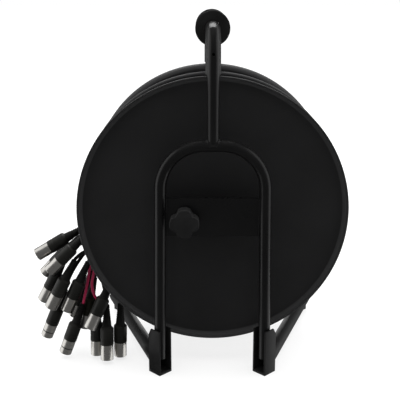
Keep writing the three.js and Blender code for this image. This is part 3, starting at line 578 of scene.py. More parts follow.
LEAD_ROUTE = [
    (-19.5, -25, 138.8), (-38.6, -28, 134.6), (-57, -32.5, 128), (-73.5, -38.5, 117),
    (-85, -45.5, 101.5), (-90, -51.5, 83), (-89, -55.5, 63), (-85.5, -57.5, 42.5),
    (-83, -58, 22.5), (-83, -58, 5), (-87.6, -58, -13), (-99.3, -58, -28.2),
]
TAILS = [  # the slot in the boot's mouth, the connector's rear and tip, and the way there
    (6, (-185, -51, -33), (-256, -58, -74), [(-160.5, -57.3, -37.2), (-168, -55.5, -34.5), (-176, -53, -31.5)]),
    (7, (-195, -42, -51), (-251, -36, -111),
     [(-160, -48, -42.5), (-169, -46.5, -43.5), (-179, -44.5, -43), (-188, -43, -45.5)]),
    (13, (-178, -71, -35), (-236, -76, -93), [(-158.5, -67.5, -39), (-167, -69.3, -32.8), (-174, -70.7, -30.6)]),
    (1, (-213, -59, -74), (-251, -54, -146),
     [(-160, -58, -45.5), (-172, -58.2, -50.5), (-186, -58.5, -55), (-202, -59, -62)]),
    (12, (-199, -73, -77), (-237, -75, -150),
     [(-158, -71, -51.5), (-168, -71.5, -56), (-178, -72, -61.5), (-189, -72.5, -67)]),
    (5, (-180, -70, -81), (-214, -72, -155),
     [(-158, -64.3, -50), (-166, -65, -55.5), (-172.5, -66.5, -62), (-177, -68.5, -71)]),
    (8, (-180, -39, -107), (-211, -28, -183),
     [(-158, -44.5, -52), (-166, -43.5, -61), (-172, -42, -74), (-176, -40.5, -90)]),
    (2, (-219, -48, -132), (-251, -48, -208),
     [(-160, -51.5, -50.5), (-175, -51, -61), (-190, -50, -77), (-203, -49, -96), (-213, -48, -115)]),
    (0, (-191, -65, -148), (-220, -70, -225),
     [(-159, -58, -52), (-170, -59, -61.5), (-177, -60, -77), (-180, -61, -97), (-185, -63, -123)]),
    (9, (-174, -52, -112), (-193, -50, -191),
     [(-154, -48.5, -61), (-161, -48.5, -70), (-166, -49.5, -83), (-171, -51, -97)]),
    (11, (-144, -74, -103), (-178, -93, -175),
     [(-151.5, -67.3, -60), (-152, -68.5, -68), (-147.5, -70, -78.5), (-143.5, -72, -90)]),
    (3, (-171, -61, -146), (-172, -70, -228),
     [(-157, -54.5, -57.5), (-166, -56, -67), (-172, -58.5, -84.5), (-174, -60.5, -101.5), (-177, -62, -118),
      (-175, -62.5, -132.5)]),
    (4, (-155, -71, -147), (-155, -88, -227),
     [(-156, -62.5, -58), (-163, -64, -68), (-165, -66, -85), (-161, -68, -108), (-157, -70, -128)]),
    (10, (-135, -69, -146), (-137, -73, -228),
     [(-153, -58.5, -66), (-157, -60, -78), (-152, -63, -94), (-143, -66, -112), (-137, -68, -128)]),
]
FEMALE = (8, 9)
OLIVE = 10
CRIMSON, CRIMSON_DIAMETER = (9, 12), 4.2  # finer than the black ones

# %% [markdown]
# ## The lead and the tails
# The lead is as thick as the winding, and each tail is a thin microphone cable. Thirteen of the fourteen slots of the
# boot's mouth stand in two rings round a middle one. The tails hold still when the drum turns, so they start a little
# proud of the mouth. Each tail ends where its connector's rear will be, and the connectors come next.

# %% The lead and the tails
INNER_RING = 6.4
OUTER_RING = 12.6
LEAD_POINTS = 40
TAIL_POINTS = 26

winding_end = around(WINDING_RADIUS, LEAD_ANGLE, WINDING_NEAR)
lead_start = winding_end + LEAD_OUT * (CABLE_DIAMETER + GAP)
boot_tail = MOUTH - MOUTH_OUT * BOOT_LENGTH
lead_line = cord_line(lead_start, LEAD_OUT, LEAD_ROUTE, MOUTH_OUT, boot_tail - MOUTH_OUT * GAP, CABLE_DIAMETER,
                      LEAD_POINTS)
lead = round_cord("multicore", lead_line, CABLE_DIAMETER, cable_jacket, "drum", "multicore_lead")


def slot_place(slot):
    if slot == 0:
        return MOUTH.copy()
    count, first, radius = (5, 1, INNER_RING) if slot <= 5 else (8, 6, OUTER_RING)
    angle = 2 * pi * (slot - first) / count
    return MOUTH + MOUTH_UP * radius * cos(angle) + Vector((0, radius * sin(angle), 0))


tails = []
for number, (slot, rear, tip, route) in enumerate(TAILS, 1):
    rear, tip = Vector(rear), Vector(tip)
    pointing = (tip - rear).normalized()
    start = slot_place(slot) + MOUTH_OUT * TAIL_CLEARANCE
    line = cord_line(start, MOUTH_OUT, route, pointing, rear - pointing * GAP, TAIL_DIAMETER, TAIL_POINTS)
    jacket, thick = (crimson_jacket, CRIMSON_DIAMETER) if number in CRIMSON else (black_jacket, TAIL_DIAMETER)
    node = f"tail_{number:02d}"
    tails.append((round_cord(node + "_cable", line, thick, jacket, "frame", node), line, thick, rear, pointing))
print("lead:", round(line_length(lead_line)), "mm; tails:", [round(line_length(tail[1])) for tail in tails])

# %% [markdown]
# ## The connectors
# Each tail ends in a three-pole cable connector. The real one is a die-cast nickel sleeve, a lacquered body and a
# rubber boot that screws on behind. All three are turned parts, so each is one profile spun about its own axis. The
# sleeve is a real hollow: looking into it one sees the insert with its three pins, or the three sockets of the two
# female ones, which also carry a latch on one side. One set of profiles serves all fourteen.

# %% The connectors' profiles, from the rear end at 0 to the tip
CONNECTOR_LENGTH = 82
SLEEVE_START, BODY_START, INSERT_FACE = 60, 32, 68
SLEEVE_RADIUS, SLEEVE_BORE = 9.3, 8.3
BODY_RADIUS, BOOT_BASE, COLLET = 9.8, 6.8, 4.2
POLE_RING, POLE_ANGLES, PIN_RADIUS = 4.2, (90, 205, 335), 1.2
BOOT_RIBS, RIB_PITCH = 6, 3.2

boot_profile = [(2.6, 0), (COLLET - 0.5, 0), (COLLET, 0.5), (COLLET, 3)]
for rib in range(BOOT_RIBS):
    low = 5 + rib * RIB_PITCH
    reach = COLLET + (BOOT_BASE - COLLET) * (low - 3) / (BODY_START - 3)
    boot_profile += corner(reach, low, (0, 0), (0.1, 0.3), (-0.35, 0.9), (-0.35, 1.6), (0.25, 2.2))
boot_profile += [(BOOT_BASE - 0.3, 28), (BOOT_BASE, BODY_START), (2.6, BODY_START)]

body_profile = [
    (5, BODY_START), (BOOT_BASE + 0.3, BODY_START), *arc((BODY_RADIUS - 3.2, BODY_START + 4), 3.2, -70, 0, 6),
    *corner(BODY_RADIUS, SLEEVE_START, (0, -9), (-0.35, -8.6), (-0.35, -7.6), (0, -7.2), (0, -0.6), (-0.5, 0)),
    (5, SLEEVE_START)]
male_sleeve = [
    (SLEEVE_BORE, SLEEVE_START), (SLEEVE_RADIUS, SLEEVE_START),
    *corner(SLEEVE_RADIUS, CONNECTOR_LENGTH, (0, -0.4), (-0.35, 0)),
    *corner(SLEEVE_BORE, CONNECTOR_LENGTH, (0.2, 0), (0, -0.3))]
GROOVE = CONNECTOR_LENGTH - 9
female_sleeve = [
    (SLEEVE_BORE - 1, SLEEVE_START), (SLEEVE_RADIUS, SLEEVE_START),
    *corner(SLEEVE_RADIUS, GROOVE, (0, -1.6), (-1, -1.4), (-1, -0.1), (-0.2, 0)),
    *corner(SLEEVE_RADIUS, CONNECTOR_LENGTH, (-0.2, -0.6), (-0.8, 0)), (SLEEVE_BORE - 1, CONNECTOR_LENGTH)]


def disc(radius, low, high, rim=0.3):
    return [(0, low), (radius - rim, low), (radius, low + rim), (radius, high - rim), (radius - rim, high), (0, high)]


def male_insides():
    """The insert and one pin."""
    insert = turned(disc(SLEEVE_BORE + 0.1, SLEEVE_START + 1, INSERT_FACE), 40)
    foot, top = INSERT_FACE - 1, CONNECTOR_LENGTH - 2.5
    return insert, [(0, foot), (PIN_RADIUS, foot), (PIN_RADIUS, top - 0.8), (0.5, top), (0, top)], turned


def female_insides():
    """The insert with its rubber band, and the lip of one socket."""
    face = CONNECTOR_LENGTH - 0.8
    insert = turned(disc(SLEEVE_BORE - 0.9, SLEEVE_START + 1, face), 40)
    band = square(SLEEVE_RADIUS - 1.1, SLEEVE_RADIUS - 0.2, GROOVE - 1.35, GROOVE - 0.15)
    return joined(insert, ring(band, 40)), square(1.2, 1.9, face - 0.1, face + 0.15), ring


def connector(number, rear, pointing):
    """Makes a connector's pieces where its CAD node is. It returns them all."""
    node, female = f"connector_{number:02d}", number in FEMALE

    def put(part, shape, material, *stands_for):
        return make(f"{node}_{part}", moved(shape, rear, turn_to(pointing)), material, "frame", *stands_for)

    pieces = [
        put("boot", ring(boot_profile, 32), boot_rubber),
        put("body", ring(body_profile, 40), olive_lacquer if number == OLIVE else body_lacquer),
        put("sleeve", ring(female_sleeve if female else male_sleeve, 40), nickel, node),
    ]
    insert, profile, spun = female_insides() if female else male_insides()
    poles = [moved(spun(profile, 16), around(POLE_RING, radians(angle))) for angle in POLE_ANGLES]
    pieces += [put("insert", insert, knob_plastic), put("poles", joined(*poles), gilt)]
    if female:
        latch = moved(eased(slab(4.6, 13, 2.4), 0.6), (0, SLEEVE_START - 1.5, BODY_RADIUS - 0.3))
        pieces.append(put("latch", latch, nickel))
    return pieces


# %% The connectors, one on the end of each cord
for number, (cable, line, thick, rear, pointing) in enumerate(tails, 1):
    on_it = connector(number, rear, pointing)

# %% [markdown]
# ## The breakout boot
# Where one thick cable becomes many thin ones, a rubber boot takes the strain. It is moulded in one piece: a ribbed
# neck over the cable, a bell, and a plate with a hole for each tail. It is turned like the rest, with its neck's ribs
# in the profile, and its mouth is a shallow dish so that the tails are seen to go into it.

# %% The breakout boot
MOUTH_RADIUS = 16.5
BOOT_NECK = 9.5
NECK_RIBS = 4
neck = [(0, 0), (BOOT_NECK - 1, 0)]
for rib in range(NECK_RIBS):
    neck += corner(BOOT_NECK + rib * 0.5, 1 + rib * 3, (0, 0), (0, 1.6), (-0.8, 2), (-0.8, 2.6))
bell = [(12.2, 13.6), (14.6, 16), (16.1, 19), (MOUTH_RADIUS, 22),
        *corner(MOUTH_RADIUS, BOOT_LENGTH, (0, -0.8), (-0.5, 0), (-1.1, 0), (-1.3, -0.9)), (0, BOOT_LENGTH - 0.9)]
fan_boot = moved(turned(neck + bell, 48), boot_tail, turn_to(MOUTH_OUT))
fan_boot = make("fan_boot", fan_boot, boot_rubber, "drum", "breakout_boot")

# %% [markdown]
# ## The winding
# The multicore lies on the drum in layers, each one a helix that runs back over the one beneath. Only the outer two
# can be seen between the flanges, so those two are real turns of one unbroken cable, and a plain core fills the rest.
# The under layer runs out to the far flange, climbs over itself there, and comes back as the outer layer, which ends
# in the straight run where the lead takes over.

# %% The winding
UNDER_RADIUS = 126
TURN_STEPS = 60
CLIMB_TURNS = 0.2


def helix(radius_from, radius_to, y_from, y_to, turn_from, turn_to):
    count = max(2, round((turn_to - turn_from) * TURN_STEPS))
    line = []
    for i in range(count):
        share = i / count
        angle = LEAD_ANGLE + 2 * pi * (turn_from + (turn_to - turn_from) * share)
        smooth = share * share * (3 - 2 * share)
        radius = radius_from + (radius_to - radius_from) * smooth
        line.append(around(radius, angle, y_from + (y_to - y_from) * share))
    return line


climb = -WINDING_TURNS - CLIMB_TURNS
winding_line = [
    *helix(UNDER_RADIUS, UNDER_RADIUS, WINDING_NEAR, WINDING_FAR, climb - WINDING_TURNS, climb),
    *helix(UNDER_RADIUS, WINDING_RADIUS, WINDING_FAR, WINDING_FAR, climb, -WINDING_TURNS),
    *helix(WINDING_RADIUS, WINDING_RADIUS, WINDING_FAR, WINDING_NEAR, -WINDING_TURNS, 0),
]
winding_line += [winding_end, winding_end + LEAD_OUT * CABLE_DIAMETER]
round_cord("winding", winding_line, CABLE_DIAMETER, cable_jacket, "drum", "cable_outer_layer", "cable_inner_layers")
print("two outer layers:", round(line_length(winding_line) * MM, 1), "m of cable")

CORE_RADIUS = 75
PARTITION_PLANE = -32.5
INNER_PLANE = 84
wound_core = square(CORE_RADIUS + GAP, UNDER_RADIUS - CABLE_DIAMETER / 2, PARTITION_PLANE + 1, INNER_PLANE - GAP)
make("winding_core", ring(wound_core, 96), cable_jacket, "drum")

# %% [markdown]
# ## The flanges
# A flange is spun from 1.5 mm sheet. Its rim is rolled outward in a soft bend, which stiffens the disc and saves
# fingers. Its section is drawn once, as a closed line round the sheet, and turned. Past the bend the paint is
# lightened, a painted highlight for the light that the rolled band catches, and the partition's rim gets it too. The
# partition between the cable and the front chamber is flat, with a wire bead rolled into its rim, and has a window that
# the lead
# comes through: the faces inside the window are taken out on both sides, and their edges are bridged.

# %% The two dished flanges
SHEET = 1.5
RIM_DEPTH = 9
RIM_BEND = 6
# painted highlight: this paler colour on the rims past the bend stands in for the light they catch
RIM_HIGHLIGHT_PAINT = (0.03, 0.03, 0.0305)
SHAFT_RADIUS = 10
FACE_PLANE = RIM_PLANE - RIM_DEPTH
DRUM_SEGMENTS = 144
SIDES = {"near": -1, "far": 1}
bend_radius = FLANGE_RADIUS - SHEET - RIM_BEND


def flange(side):
    middle = FACE_PLANE + RIM_BEND
    section = [
        (SHAFT_RADIUS + GAP, FACE_PLANE),
        *arc((bend_radius, middle), RIM_BEND, -90, 0, 8),
        (FLANGE_RADIUS - SHEET, RIM_PLANE - 0.5),
        *arc((FLANGE_RADIUS - SHEET / 2, RIM_PLANE - 0.75), 0.75, 180, 0, 6),
        *arc((bend_radius, middle), RIM_BEND + SHEET, 0, -90, 8),
        (SHAFT_RADIUS + GAP, INNER_PLANE),
    ]
    return ring([(radius, side * y) for radius, y in section], DRUM_SEGMENTS)


def paint_rim_highlight(material):
    """Paints a highlight: lightens the paint past the discs' bend, for the light that the rolled band catches."""
    tree = material.node_tree
    shader = tree.nodes["Principled BSDF"]
    plain = shader.inputs["Base Color"].links[0].from_socket
    from_axle = math_node(tree, "MULTIPLY_ADD", add(tree, "TexCoord", {}, "Object"), (1, 0, 1), (0, 0, FLOOR * MM),
                          kind="VectorMath")
    away = math_node(tree, "LENGTH", from_axle, kind="VectorMath", output="Value")
    # the band past the bend takes the painted highlight colour
    band = between(tree, away, (bend_radius - 0.5) * MM, (bend_radius + 0.5) * MM, curve="LINEAR")
    wire(tree, shader, {"Base Color": blend_colors(tree, plain, RIM_HIGHLIGHT_PAINT, band)})


# the flanges and the partition get a painted highlight on their rims
paint_rim_highlight(drum_paint)
for name, side in SIDES.items():
    make(name + "_disc", flange(side), drum_paint, "drum", name + "_flange", sharp=50)

# %% The partition
BEAD_RADIUS = 3
WINDOW = (122, 160)
WINDOW_FROM, WINDOW_TO = 92, 140
PARTITION_SEGMENTS = 120
half = SHEET / 2
neck_angle = math.degrees(math.asin(half / BEAD_RADIUS))
near_side, far_side = PARTITION_PLANE - half, PARTITION_PLANE + half
radii = (CORE_RADIUS + GAP, *WINDOW)
section = [
    *((radius, near_side) for radius in radii),
    *arc((FLANGE_RADIUS - BEAD_RADIUS, PARTITION_PLANE), BEAD_RADIUS, neck_angle - 180, 180 - neck_angle, 14),
    *((radius, far_side) for radius in reversed(radii)),
]
partition = ring(section, PARTITION_SEGMENTS)
bmesh.ops.rotate(partition, verts=partition.verts[:], cent=(0, 0, 0),
                 matrix=Matrix.Rotation(radians(-WINDOW_FROM), 3, "Y"))


def in_window(face):
    middle = face.calc_center_median()
    radius = math.hypot(middle.x, middle.z)
    angle = math.degrees(math.atan2(middle.z, middle.x)) % 360
    return WINDOW[0] < radius < WINDOW[1] and WINDOW_FROM < angle < WINDOW_TO


opened = [face for face in partition.faces if in_window(face)]
bmesh.ops.delete(partition, geom=opened, context="FACES")
border = [edge for edge in partition.edges if edge.is_boundary]
bmesh.ops.bridge_loops(partition, edges=border)
outward(partition)
print("window:", len(opened), "faces out, edges left open:", sum(edge.is_boundary for edge in partition.edges))
make("partition", partition, drum_paint, "drum", "partition_flange", sharp=50)

# %% [markdown]
# ## The core and the shaft
# The flanges are welded to a tube, and the tube turns with a solid shaft. The core's welds show as small fillets
# where it meets each disc, so it gets a ring of weld at each. The shaft is plain bright bar with chamfered ends.

# %% The core and the shaft
CORE_WALL = 2
WELD = 1.8
core = ring(square(CORE_RADIUS - CORE_WALL, CORE_RADIUS, GAP - INNER_PLANE, INNER_PLANE - GAP), 96)
welds = [ring(arc((CORE_RADIUS, y), WELD, 0, 330, 11), 96) for y in (GAP - INNER_PLANE, near_side, far_side)]
make("core_tube", joined(core, *welds), drum_paint, "drum", "drum_core")

FRAME_PLANE = 113
PLATE_THICKNESS = 5
PLATE_FRONT = FRAME_PLANE + PLATE_THICKNESS / 2
PLATE_BACK = FRAME_PLANE - PLATE_THICKNESS / 2
CRANK_BACK = PLATE_FRONT + 9
CRANK_FRONT = CRANK_BACK + 5
SHAFT_END = CRANK_FRONT + 2
shaft = turned(disc(SHAFT_RADIUS, GAP - PLATE_BACK, SHAFT_END, 0.8), 48)
make("axle_bar", shaft, bare_steel, "drum", "drum_shaft")

# %% [markdown]
# ## The side frames
# Each side frame is an arch of round tube with an upright welded on its crown. A tube is bent, so it is made the way
# a bender makes it: a ring of edges is run straight and spun round the bend's centre, half an arch is mirrored, and
# the skin is given its wall. The near arch's legs lean out by less than a degree. The far one is guessed wider,
# because the rails run outward to its feet.

# %% The arches and the uprights
FRAME_RADIUS = 8.3
FRAME_WALL = 1.5
ARCH_RISE = 99.3
ARCH_BEND = 60
LEG_END = 22
HANDLE_BEND = 45
GRIP_RISE = 249.5
HANDLE_RADIUS = 10.5
UPRIGHT_BEND = 43
handle_plane = FRAME_PLANE - FRAME_RADIUS - GAP - HANDLE_RADIUS
bend_plane = handle_plane - HANDLE_BEND
bend_rise = GRIP_RISE - HANDLE_BEND
LEGS = {-1: (11.5, 0.8), 1: (90, 0)}  # by side, half the crown's straight run and the splay in degrees


def leg(side):
    """The foot and the knee of a frame's right leg."""
    half_span, splay = LEGS[side]
    angle = radians(splay)
    knee = Vector((half_span + ARCH_BEND * cos(angle), 0, ARCH_RISE - ARCH_BEND + ARCH_BEND * sin(angle)))
    height = FLOOR + LEG_END
    return Vector((knee.x + (knee.z - height) * math.tan(angle), 0, height)), knee


def arch(side):
    half_span, splay = LEGS[side]
    foot, knee = leg(side)
    shape, rim = tube_start(FRAME_RADIUS, foot, knee - foot)
    rim = tube_straight(shape, rim, knee - foot)
    rim = tube_bend(shape, rim, (half_span, 0, ARCH_RISE - ARCH_BEND), (0, 1, 0), splay - 90, 24)
    tube_straight(shape, rim, (-half_span, 0, 0))
    return moved(tube_wall(shape, FRAME_WALL, "X"), (0, side * FRAME_PLANE, 0))


def upright(side):
    shape, rim = tube_start(FRAME_RADIUS, (0, side * FRAME_PLANE, ARCH_RISE), (0, 0, 1))
    rim = tube_straight(shape, rim, (0, 0, bend_rise - ARCH_RISE))
    tube_bend(shape, rim, (0, side * bend_plane, bend_rise), (1, 0, 0), side * UPRIGHT_BEND, 14)
    return tube_wall(shape, FRAME_WALL)


def crown_weld(side):
    """A bead that dips where one tube saddles the other."""
    bead = ring(arc((FRAME_RADIUS, 0), WELD, 0, 330, 11), 64)
    bead.transform(Matrix.Rotation(radians(90), 4, "X"))
    for point in bead.verts:
        point.co.z += math.sqrt(max(FRAME_RADIUS**2 - point.co.y**2, 0))
    return moved(outward(bead), (0, side * FRAME_PLANE, ARCH_RISE))


for name, side in SIDES.items():
    make(name + "_hoop", arch(side), tube_paint, "frame", name + "_arch")
    make(name + "_post", upright(side), tube_paint, "frame", name + "_upright")
    make(name + "_crown_weld", crown_weld(side), tube_paint, "frame")

# %% [markdown]
# The handle's bolts are driven through a small hole in each upright. A hole across a bent tube is quickest as a
# Boolean with a plain drill, which is taken away once the cut is in the mesh.

# %% The key holes
BOLT_RISE = 220
KEY_HOLE = 2


def drilled(piece, radius, start, end):
    start, end = Vector(start), Vector(end)
    drill = bmesh.new()
    bmesh.ops.create_cone(drill, cap_ends=True, segments=24, radius1=radius, radius2=radius,
                          depth=(end - start).length, matrix=stood((start + end) / 2, end - start))
    drill.transform(TO_FRAME)
    tool = bpy.data.objects.new("drill", mesh_of("drill", drill))
    link(tool)
    cut = piece.modifiers.new("drill", "BOOLEAN")
    cut.operation = "DIFFERENCE"
    cut.solver = "EXACT"
    cut.object = tool
    shape = bpy.data.meshes.new_from_object(piece.evaluated_get(bpy.context.evaluated_depsgraph_get()))
    piece.modifiers.clear()
    piece.data = shape
    bpy.data.objects.remove(tool)
    print(piece.name, "drilled:", len(shape.polygons), "faces")


for name, side in SIDES.items():
    drilled(bpy.data.objects[name + "_post"], KEY_HOLE, (0, side * FRAME_PLANE, BOLT_RISE),
            (0, side * (FRAME_PLANE + 20), BOLT_RISE))
    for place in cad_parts[name + "_handle_bolt"].material_slots:
        place.material = black_steel

# %% [markdown]
# ## The axle plates
# A flat plate is welded across each pair of legs. The near one is blind and carries the brake's boss, and the far one
# is bored for a bronze bush. A weld's ripples are the small overlapping scales that a welder leaves, so the bead is a
# short run of rings that swell and shrink.

# %% The axle plates and their welds
PLATE_HEIGHT = 54
BUSH_OUTER = 15.3
KNOB_SIDE, KNOB_DROP = 38.5, 2.1
KNOB_AXIS = (-KNOB_SIDE, 0, -KNOB_DROP)
BOLT_BORE = 4.3
BEAD_SWELL = 0.82


def weld_bead(length, radius=1.4, pitch=1.5):
    shape, rim = tube_start(radius, (0, 0, -length / 2), (0, 0, 1), 10)
    for i in range(1, round(length / pitch * 2) + 1):
        rim = tube_straight(shape, rim, (0, 0, pitch / 2))
        points = points_on(rim)
        size = BEAD_SWELL if i % 2 else 1 / BEAD_SWELL
        middle = sum((point.co for point in points), Vector()) / len(points)
        bmesh.ops.scale(shape, vec=(size, size, 1), verts=points, space=Matrix.Translation(-middle))
    bmesh.ops.holes_fill(shape, edges=[edge for edge in shape.edges if edge.is_boundary])
    return outward(shape)


def axle_plate(side):
    foot, knee = leg(side)
    inner = foot.lerp(knee, -foot.z / (knee.z - foot.z)).x - FRAME_RADIUS
    plate = eased(slab(2 * inner + 2, PLATE_THICKNESS, PLATE_HEIGHT), 0.6)
    beads = [moved(weld_bead(PLATE_HEIGHT - 4), (sign * inner, face * PLATE_THICKNESS / 2, 0))
             for sign in (-1, 1) for face in (-1, 1)]
    return moved(joined(plate, *beads), (0, side * FRAME_PLANE, 0))


BOSS_RADIUS, BOSS_LENGTH = 9, 4
boss = ring(sleeve(BOLT_BORE, BOSS_RADIUS, -PLATE_FRONT, -PLATE_FRONT - BOSS_LENGTH, 0.6), 40)
near_plate = joined(axle_plate(-1), moved(boss, KNOB_AXIS))
make("near_plate", near_plate, tube_paint, "frame", "near_axle_plate")
make("far_plate", axle_plate(1), tube_paint, "frame", "far_axle_plate")

COLLAR = 3
bush_bore = SHAFT_RADIUS + GAP
near_bush = sleeve(bush_bore, BUSH_OUTER, GAP - PLATE_BACK, GAP - PLATE_BACK + 14, 0.8)
make("near_bearing", ring(near_bush, 48), bronze, "frame", "near_bush")
shoulder, end = PLATE_BACK - GAP, PLATE_FRONT + COLLAR
far_bush = [(bush_bore, shoulder - COLLAR),
            *corner(BUSH_OUTER, shoulder, (3.4, -COLLAR), (4, 0.6 - COLLAR), (4, 0), (0, 0)),
            *corner(BUSH_OUTER, end, (0, -0.6), (-0.6, 0)), (bush_bore, end)]
make("far_bearing", ring(far_bush, 48), bronze, "frame", "far_bush")

# %% [markdown]
# ## The shoes and the rails
# Each leg stands in a shoe, a channel stood on end with its open side turned 45 degrees towards the middle and its
# web towards the rail. The channel's section and its sole share their edges, so both faces are drawn first, pushed
# down together for the sole, and the channel alone is pulled up for the walls. One slanted cut takes the web's top
# corner off. The rails are straight tubes, cut at 45 degrees to sit on the webs.

# %% The shoes
SHOE_SIDE = 23.4
SHOE_HEIGHT = 68
CHAMFER_DEPTH, CHAMFER_HEIGHT = 5, 10
SOLE = 4
CAVITY = 18.2


def shoe_turn(side_x, side_y):
    back = -pi / 4 if side_x > 0 else pi / 4
    return back if side_y < 0 else pi - back


def shoe_place(side_x, side_y):
    return Vector((side_x * leg(side_y)[0].x, side_y * FRAME_PLANE, FLOOR))


def shoe(side_x, side_y):
    outer, inner = SHOE_SIDE / 2, CAVITY / 2
    shape = bmesh.new()
    corners = [(-outer, -outer), (-inner, -outer), (-inner, inner), (inner, inner), (inner, -outer), (outer, -outer),
               (outer, outer), (-outer, outer)]
    points = [shape.verts.new((x, y, SOLE)) for x, y in corners]
    channel = shape.faces.new(points)
    hollow = shape.faces.new([points[1], points[4], points[3], points[2]])
    pushed(shape, [channel, hollow], (0, 0, -SOLE))
    pushed(shape, [channel], (0, 0, SHOE_HEIGHT - SOLE), keep=False)
    cut = bmesh.ops.bisect_plane(shape, geom=everything(shape), plane_co=(0, outer, SHOE_HEIGHT - CHAMFER_HEIGHT),
                                 plane_no=(0, CHAMFER_HEIGHT, CHAMFER_DEPTH), clear_outer=True)
    bmesh.ops.holes_fill(shape, edges=of_kind(cut["geom_cut"], EDGE))
    eased(outward(shape), 0.7, 2, 30)
    return moved(shape, shoe_place(side_x, side_y), Matrix.Rotation(shoe_turn(side_x, side_y), 3, "Z"))


for row, side_y in SIDES.items():
    for side_x, column in ((-1, "left"), (1, "right")):
        place = f"{row}_{column}"
        make(place + "_foot", shoe(side_x, side_y), shoe_plastic, "frame", place + "_shoe")

# %% The rails
RAIL_RADIUS = 10
RAIL_WALL = 2
RAIL_HEIGHT = 20


def web_place(side_x, side_y):
    out = Vector((0, SHOE_SIDE / 2, 0))
    out.rotate(Matrix.Rotation(shoe_turn(side_x, side_y), 3, "Z"))
    return shoe_place(side_x, side_y) + out + Vector((0, 0, RAIL_HEIGHT)), out.normalized()


def rail(side_x):
    (near, near_out), (far, far_out) = web_place(side_x, -1), web_place(side_x, 1)
    along = (far - near).normalized() * SHOE_SIDE
    shape, rim = tube_start(RAIL_RADIUS, near - along, far - near, 40)
    tube_straight(shape, rim, far - near + 2 * along)
    tube_wall(shape, RAIL_WALL)
    for web, out in ((near, near_out), (far, far_out)):
        bmesh.ops.bisect_plane(shape, geom=everything(shape), plane_co=web + out * GAP, plane_no=-out,
                               clear_outer=True)
    return shape


for side_x, name in ((-1, "left"), (1, "right")):
    make(name + "_skid", rail(side_x), tube_paint, "frame", name + "_rail")

# %% [markdown]
# ## The handle
# One tube is bent down at both ends and bolted inside the uprights. Half of it is made and mirrored. The grip is a
# rubber sleeve with a round guard at each end, which is what the camera sees end on. Fine rings let it be held with
# a wet hand.

# %% The handle and its grip
HANDLE_WALL = 2
HANDLE_END = FLANGE_RADIUS + 2.2
shape, rim = tube_start(HANDLE_RADIUS, (0, handle_plane, HANDLE_END), (0, 0, 1), 40)
rim = tube_straight(shape, rim, (0, 0, bend_rise - HANDLE_END))
rim = tube_bend(shape, rim, (0, bend_plane, bend_rise), (1, 0, 0), 90, 24)
tube_straight(shape, rim, (0, -bend_plane, 0))
make("carrying_handle", tube_wall(shape, HANDLE_WALL, "Y"), tube_paint, "frame", "handle_tube")

GUARD_RADIUS, GUARD_THICKNESS = 24.2, 6
GRIP_END = 1.5
RING_PITCH = 4
grip_half = bend_plane - GRIP_END
grip_bore = HANDLE_RADIUS + GAP
grip_outer = grip_bore + 3.2
ring_count = int((grip_half - GUARD_THICKNESS - 3) * 2 / RING_PITCH)
guard = [
    (grip_bore, -grip_half), (GUARD_RADIUS - 1.5, -grip_half),
    *arc((GUARD_RADIUS - 1.5, 1.5 - grip_half), 1.5, -90, 0, 4),
    *arc((GUARD_RADIUS - 2.5, GUARD_THICKNESS - 2.5 - grip_half), 2.5, 0, 90, 4),
    (grip_outer + 2, GUARD_THICKNESS - grip_half), (grip_outer, GUARD_THICKNESS + 1.6 - grip_half),
]
section = list(guard)
for i in range(ring_count):
    low = (i - ring_count / 2) * RING_PITCH
    section += corner(grip_outer, low, (0, 0.4), (-0.7, 0.9), (-0.7, 1.5), (0, 2))
section += [(radius, -y) for radius, y in reversed(guard)]
make("rubber_grip", moved(ring(section, 64), (0, 0, GRIP_RISE)), grip_rubber, "frame", "handle_grip", sharp=50)

# %% [markdown]
# ## The brake
# A star knob drives a screw through the plate, and a rubber pad on its end presses on the flange. The knob's outline
# is a circle whose radius sinks four times, pulled out to its depth and rounded. The sinking wave is raised to a
# power, which leaves wide lobes and narrow notches. The screw's thread is a single V of one pitch, spun while it
# climbs.

# %% The brake's knob, screw and pad
KNOB_RADIUS = 20
KNOB_DEPTH = 18
KNOB_LOBES = 4
LOBE_SHARE = 0.2
NOTCH = 3
BOSS_LIFT = 2
HUB_RADIUS, HUB_LENGTH = 9, 3.5
knob_back = -(PLATE_FRONT + BOSS_LENGTH + BOSS_LIFT)
star_back = knob_back - HUB_LENGTH

star = bmesh.new()
bmesh.ops.create_circle(star, cap_ends=True, segments=120, radius=KNOB_RADIUS,
                        matrix=Matrix.Translation((0, star_back, 0)) @ Matrix.Rotation(radians(90), 4, "X"))
for point in star.verts:
    angle = math.atan2(point.co.x, point.co.z)
    shrunk = 1 - LOBE_SHARE * ((1 - cos(KNOB_LOBES * angle)) / 2) ** NOTCH
    point.co.x *= shrunk
    point.co.z *= shrunk
pushed(star, star.faces[:], (0, -KNOB_DEPTH, 0))
eased(outward(star), 1.2, 4, 60)
face = min((f for f in star.faces if f.normal.y < -0.9), key=lambda f: -f.calc_area())
for width, depth in ((0.8, 0), (0.6, -0.4)):
    bmesh.ops.inset_region(star, faces=[face], thickness=width, depth=depth, use_even_offset=True)
hub = ring(sleeve(BOLT_BORE, HUB_RADIUS, star_back - 1, knob_back, 0.8), 40)
make("star_knob", moved(joined(star, hub), KNOB_AXIS), knob_plastic, "brake_screw", "brake_knob")

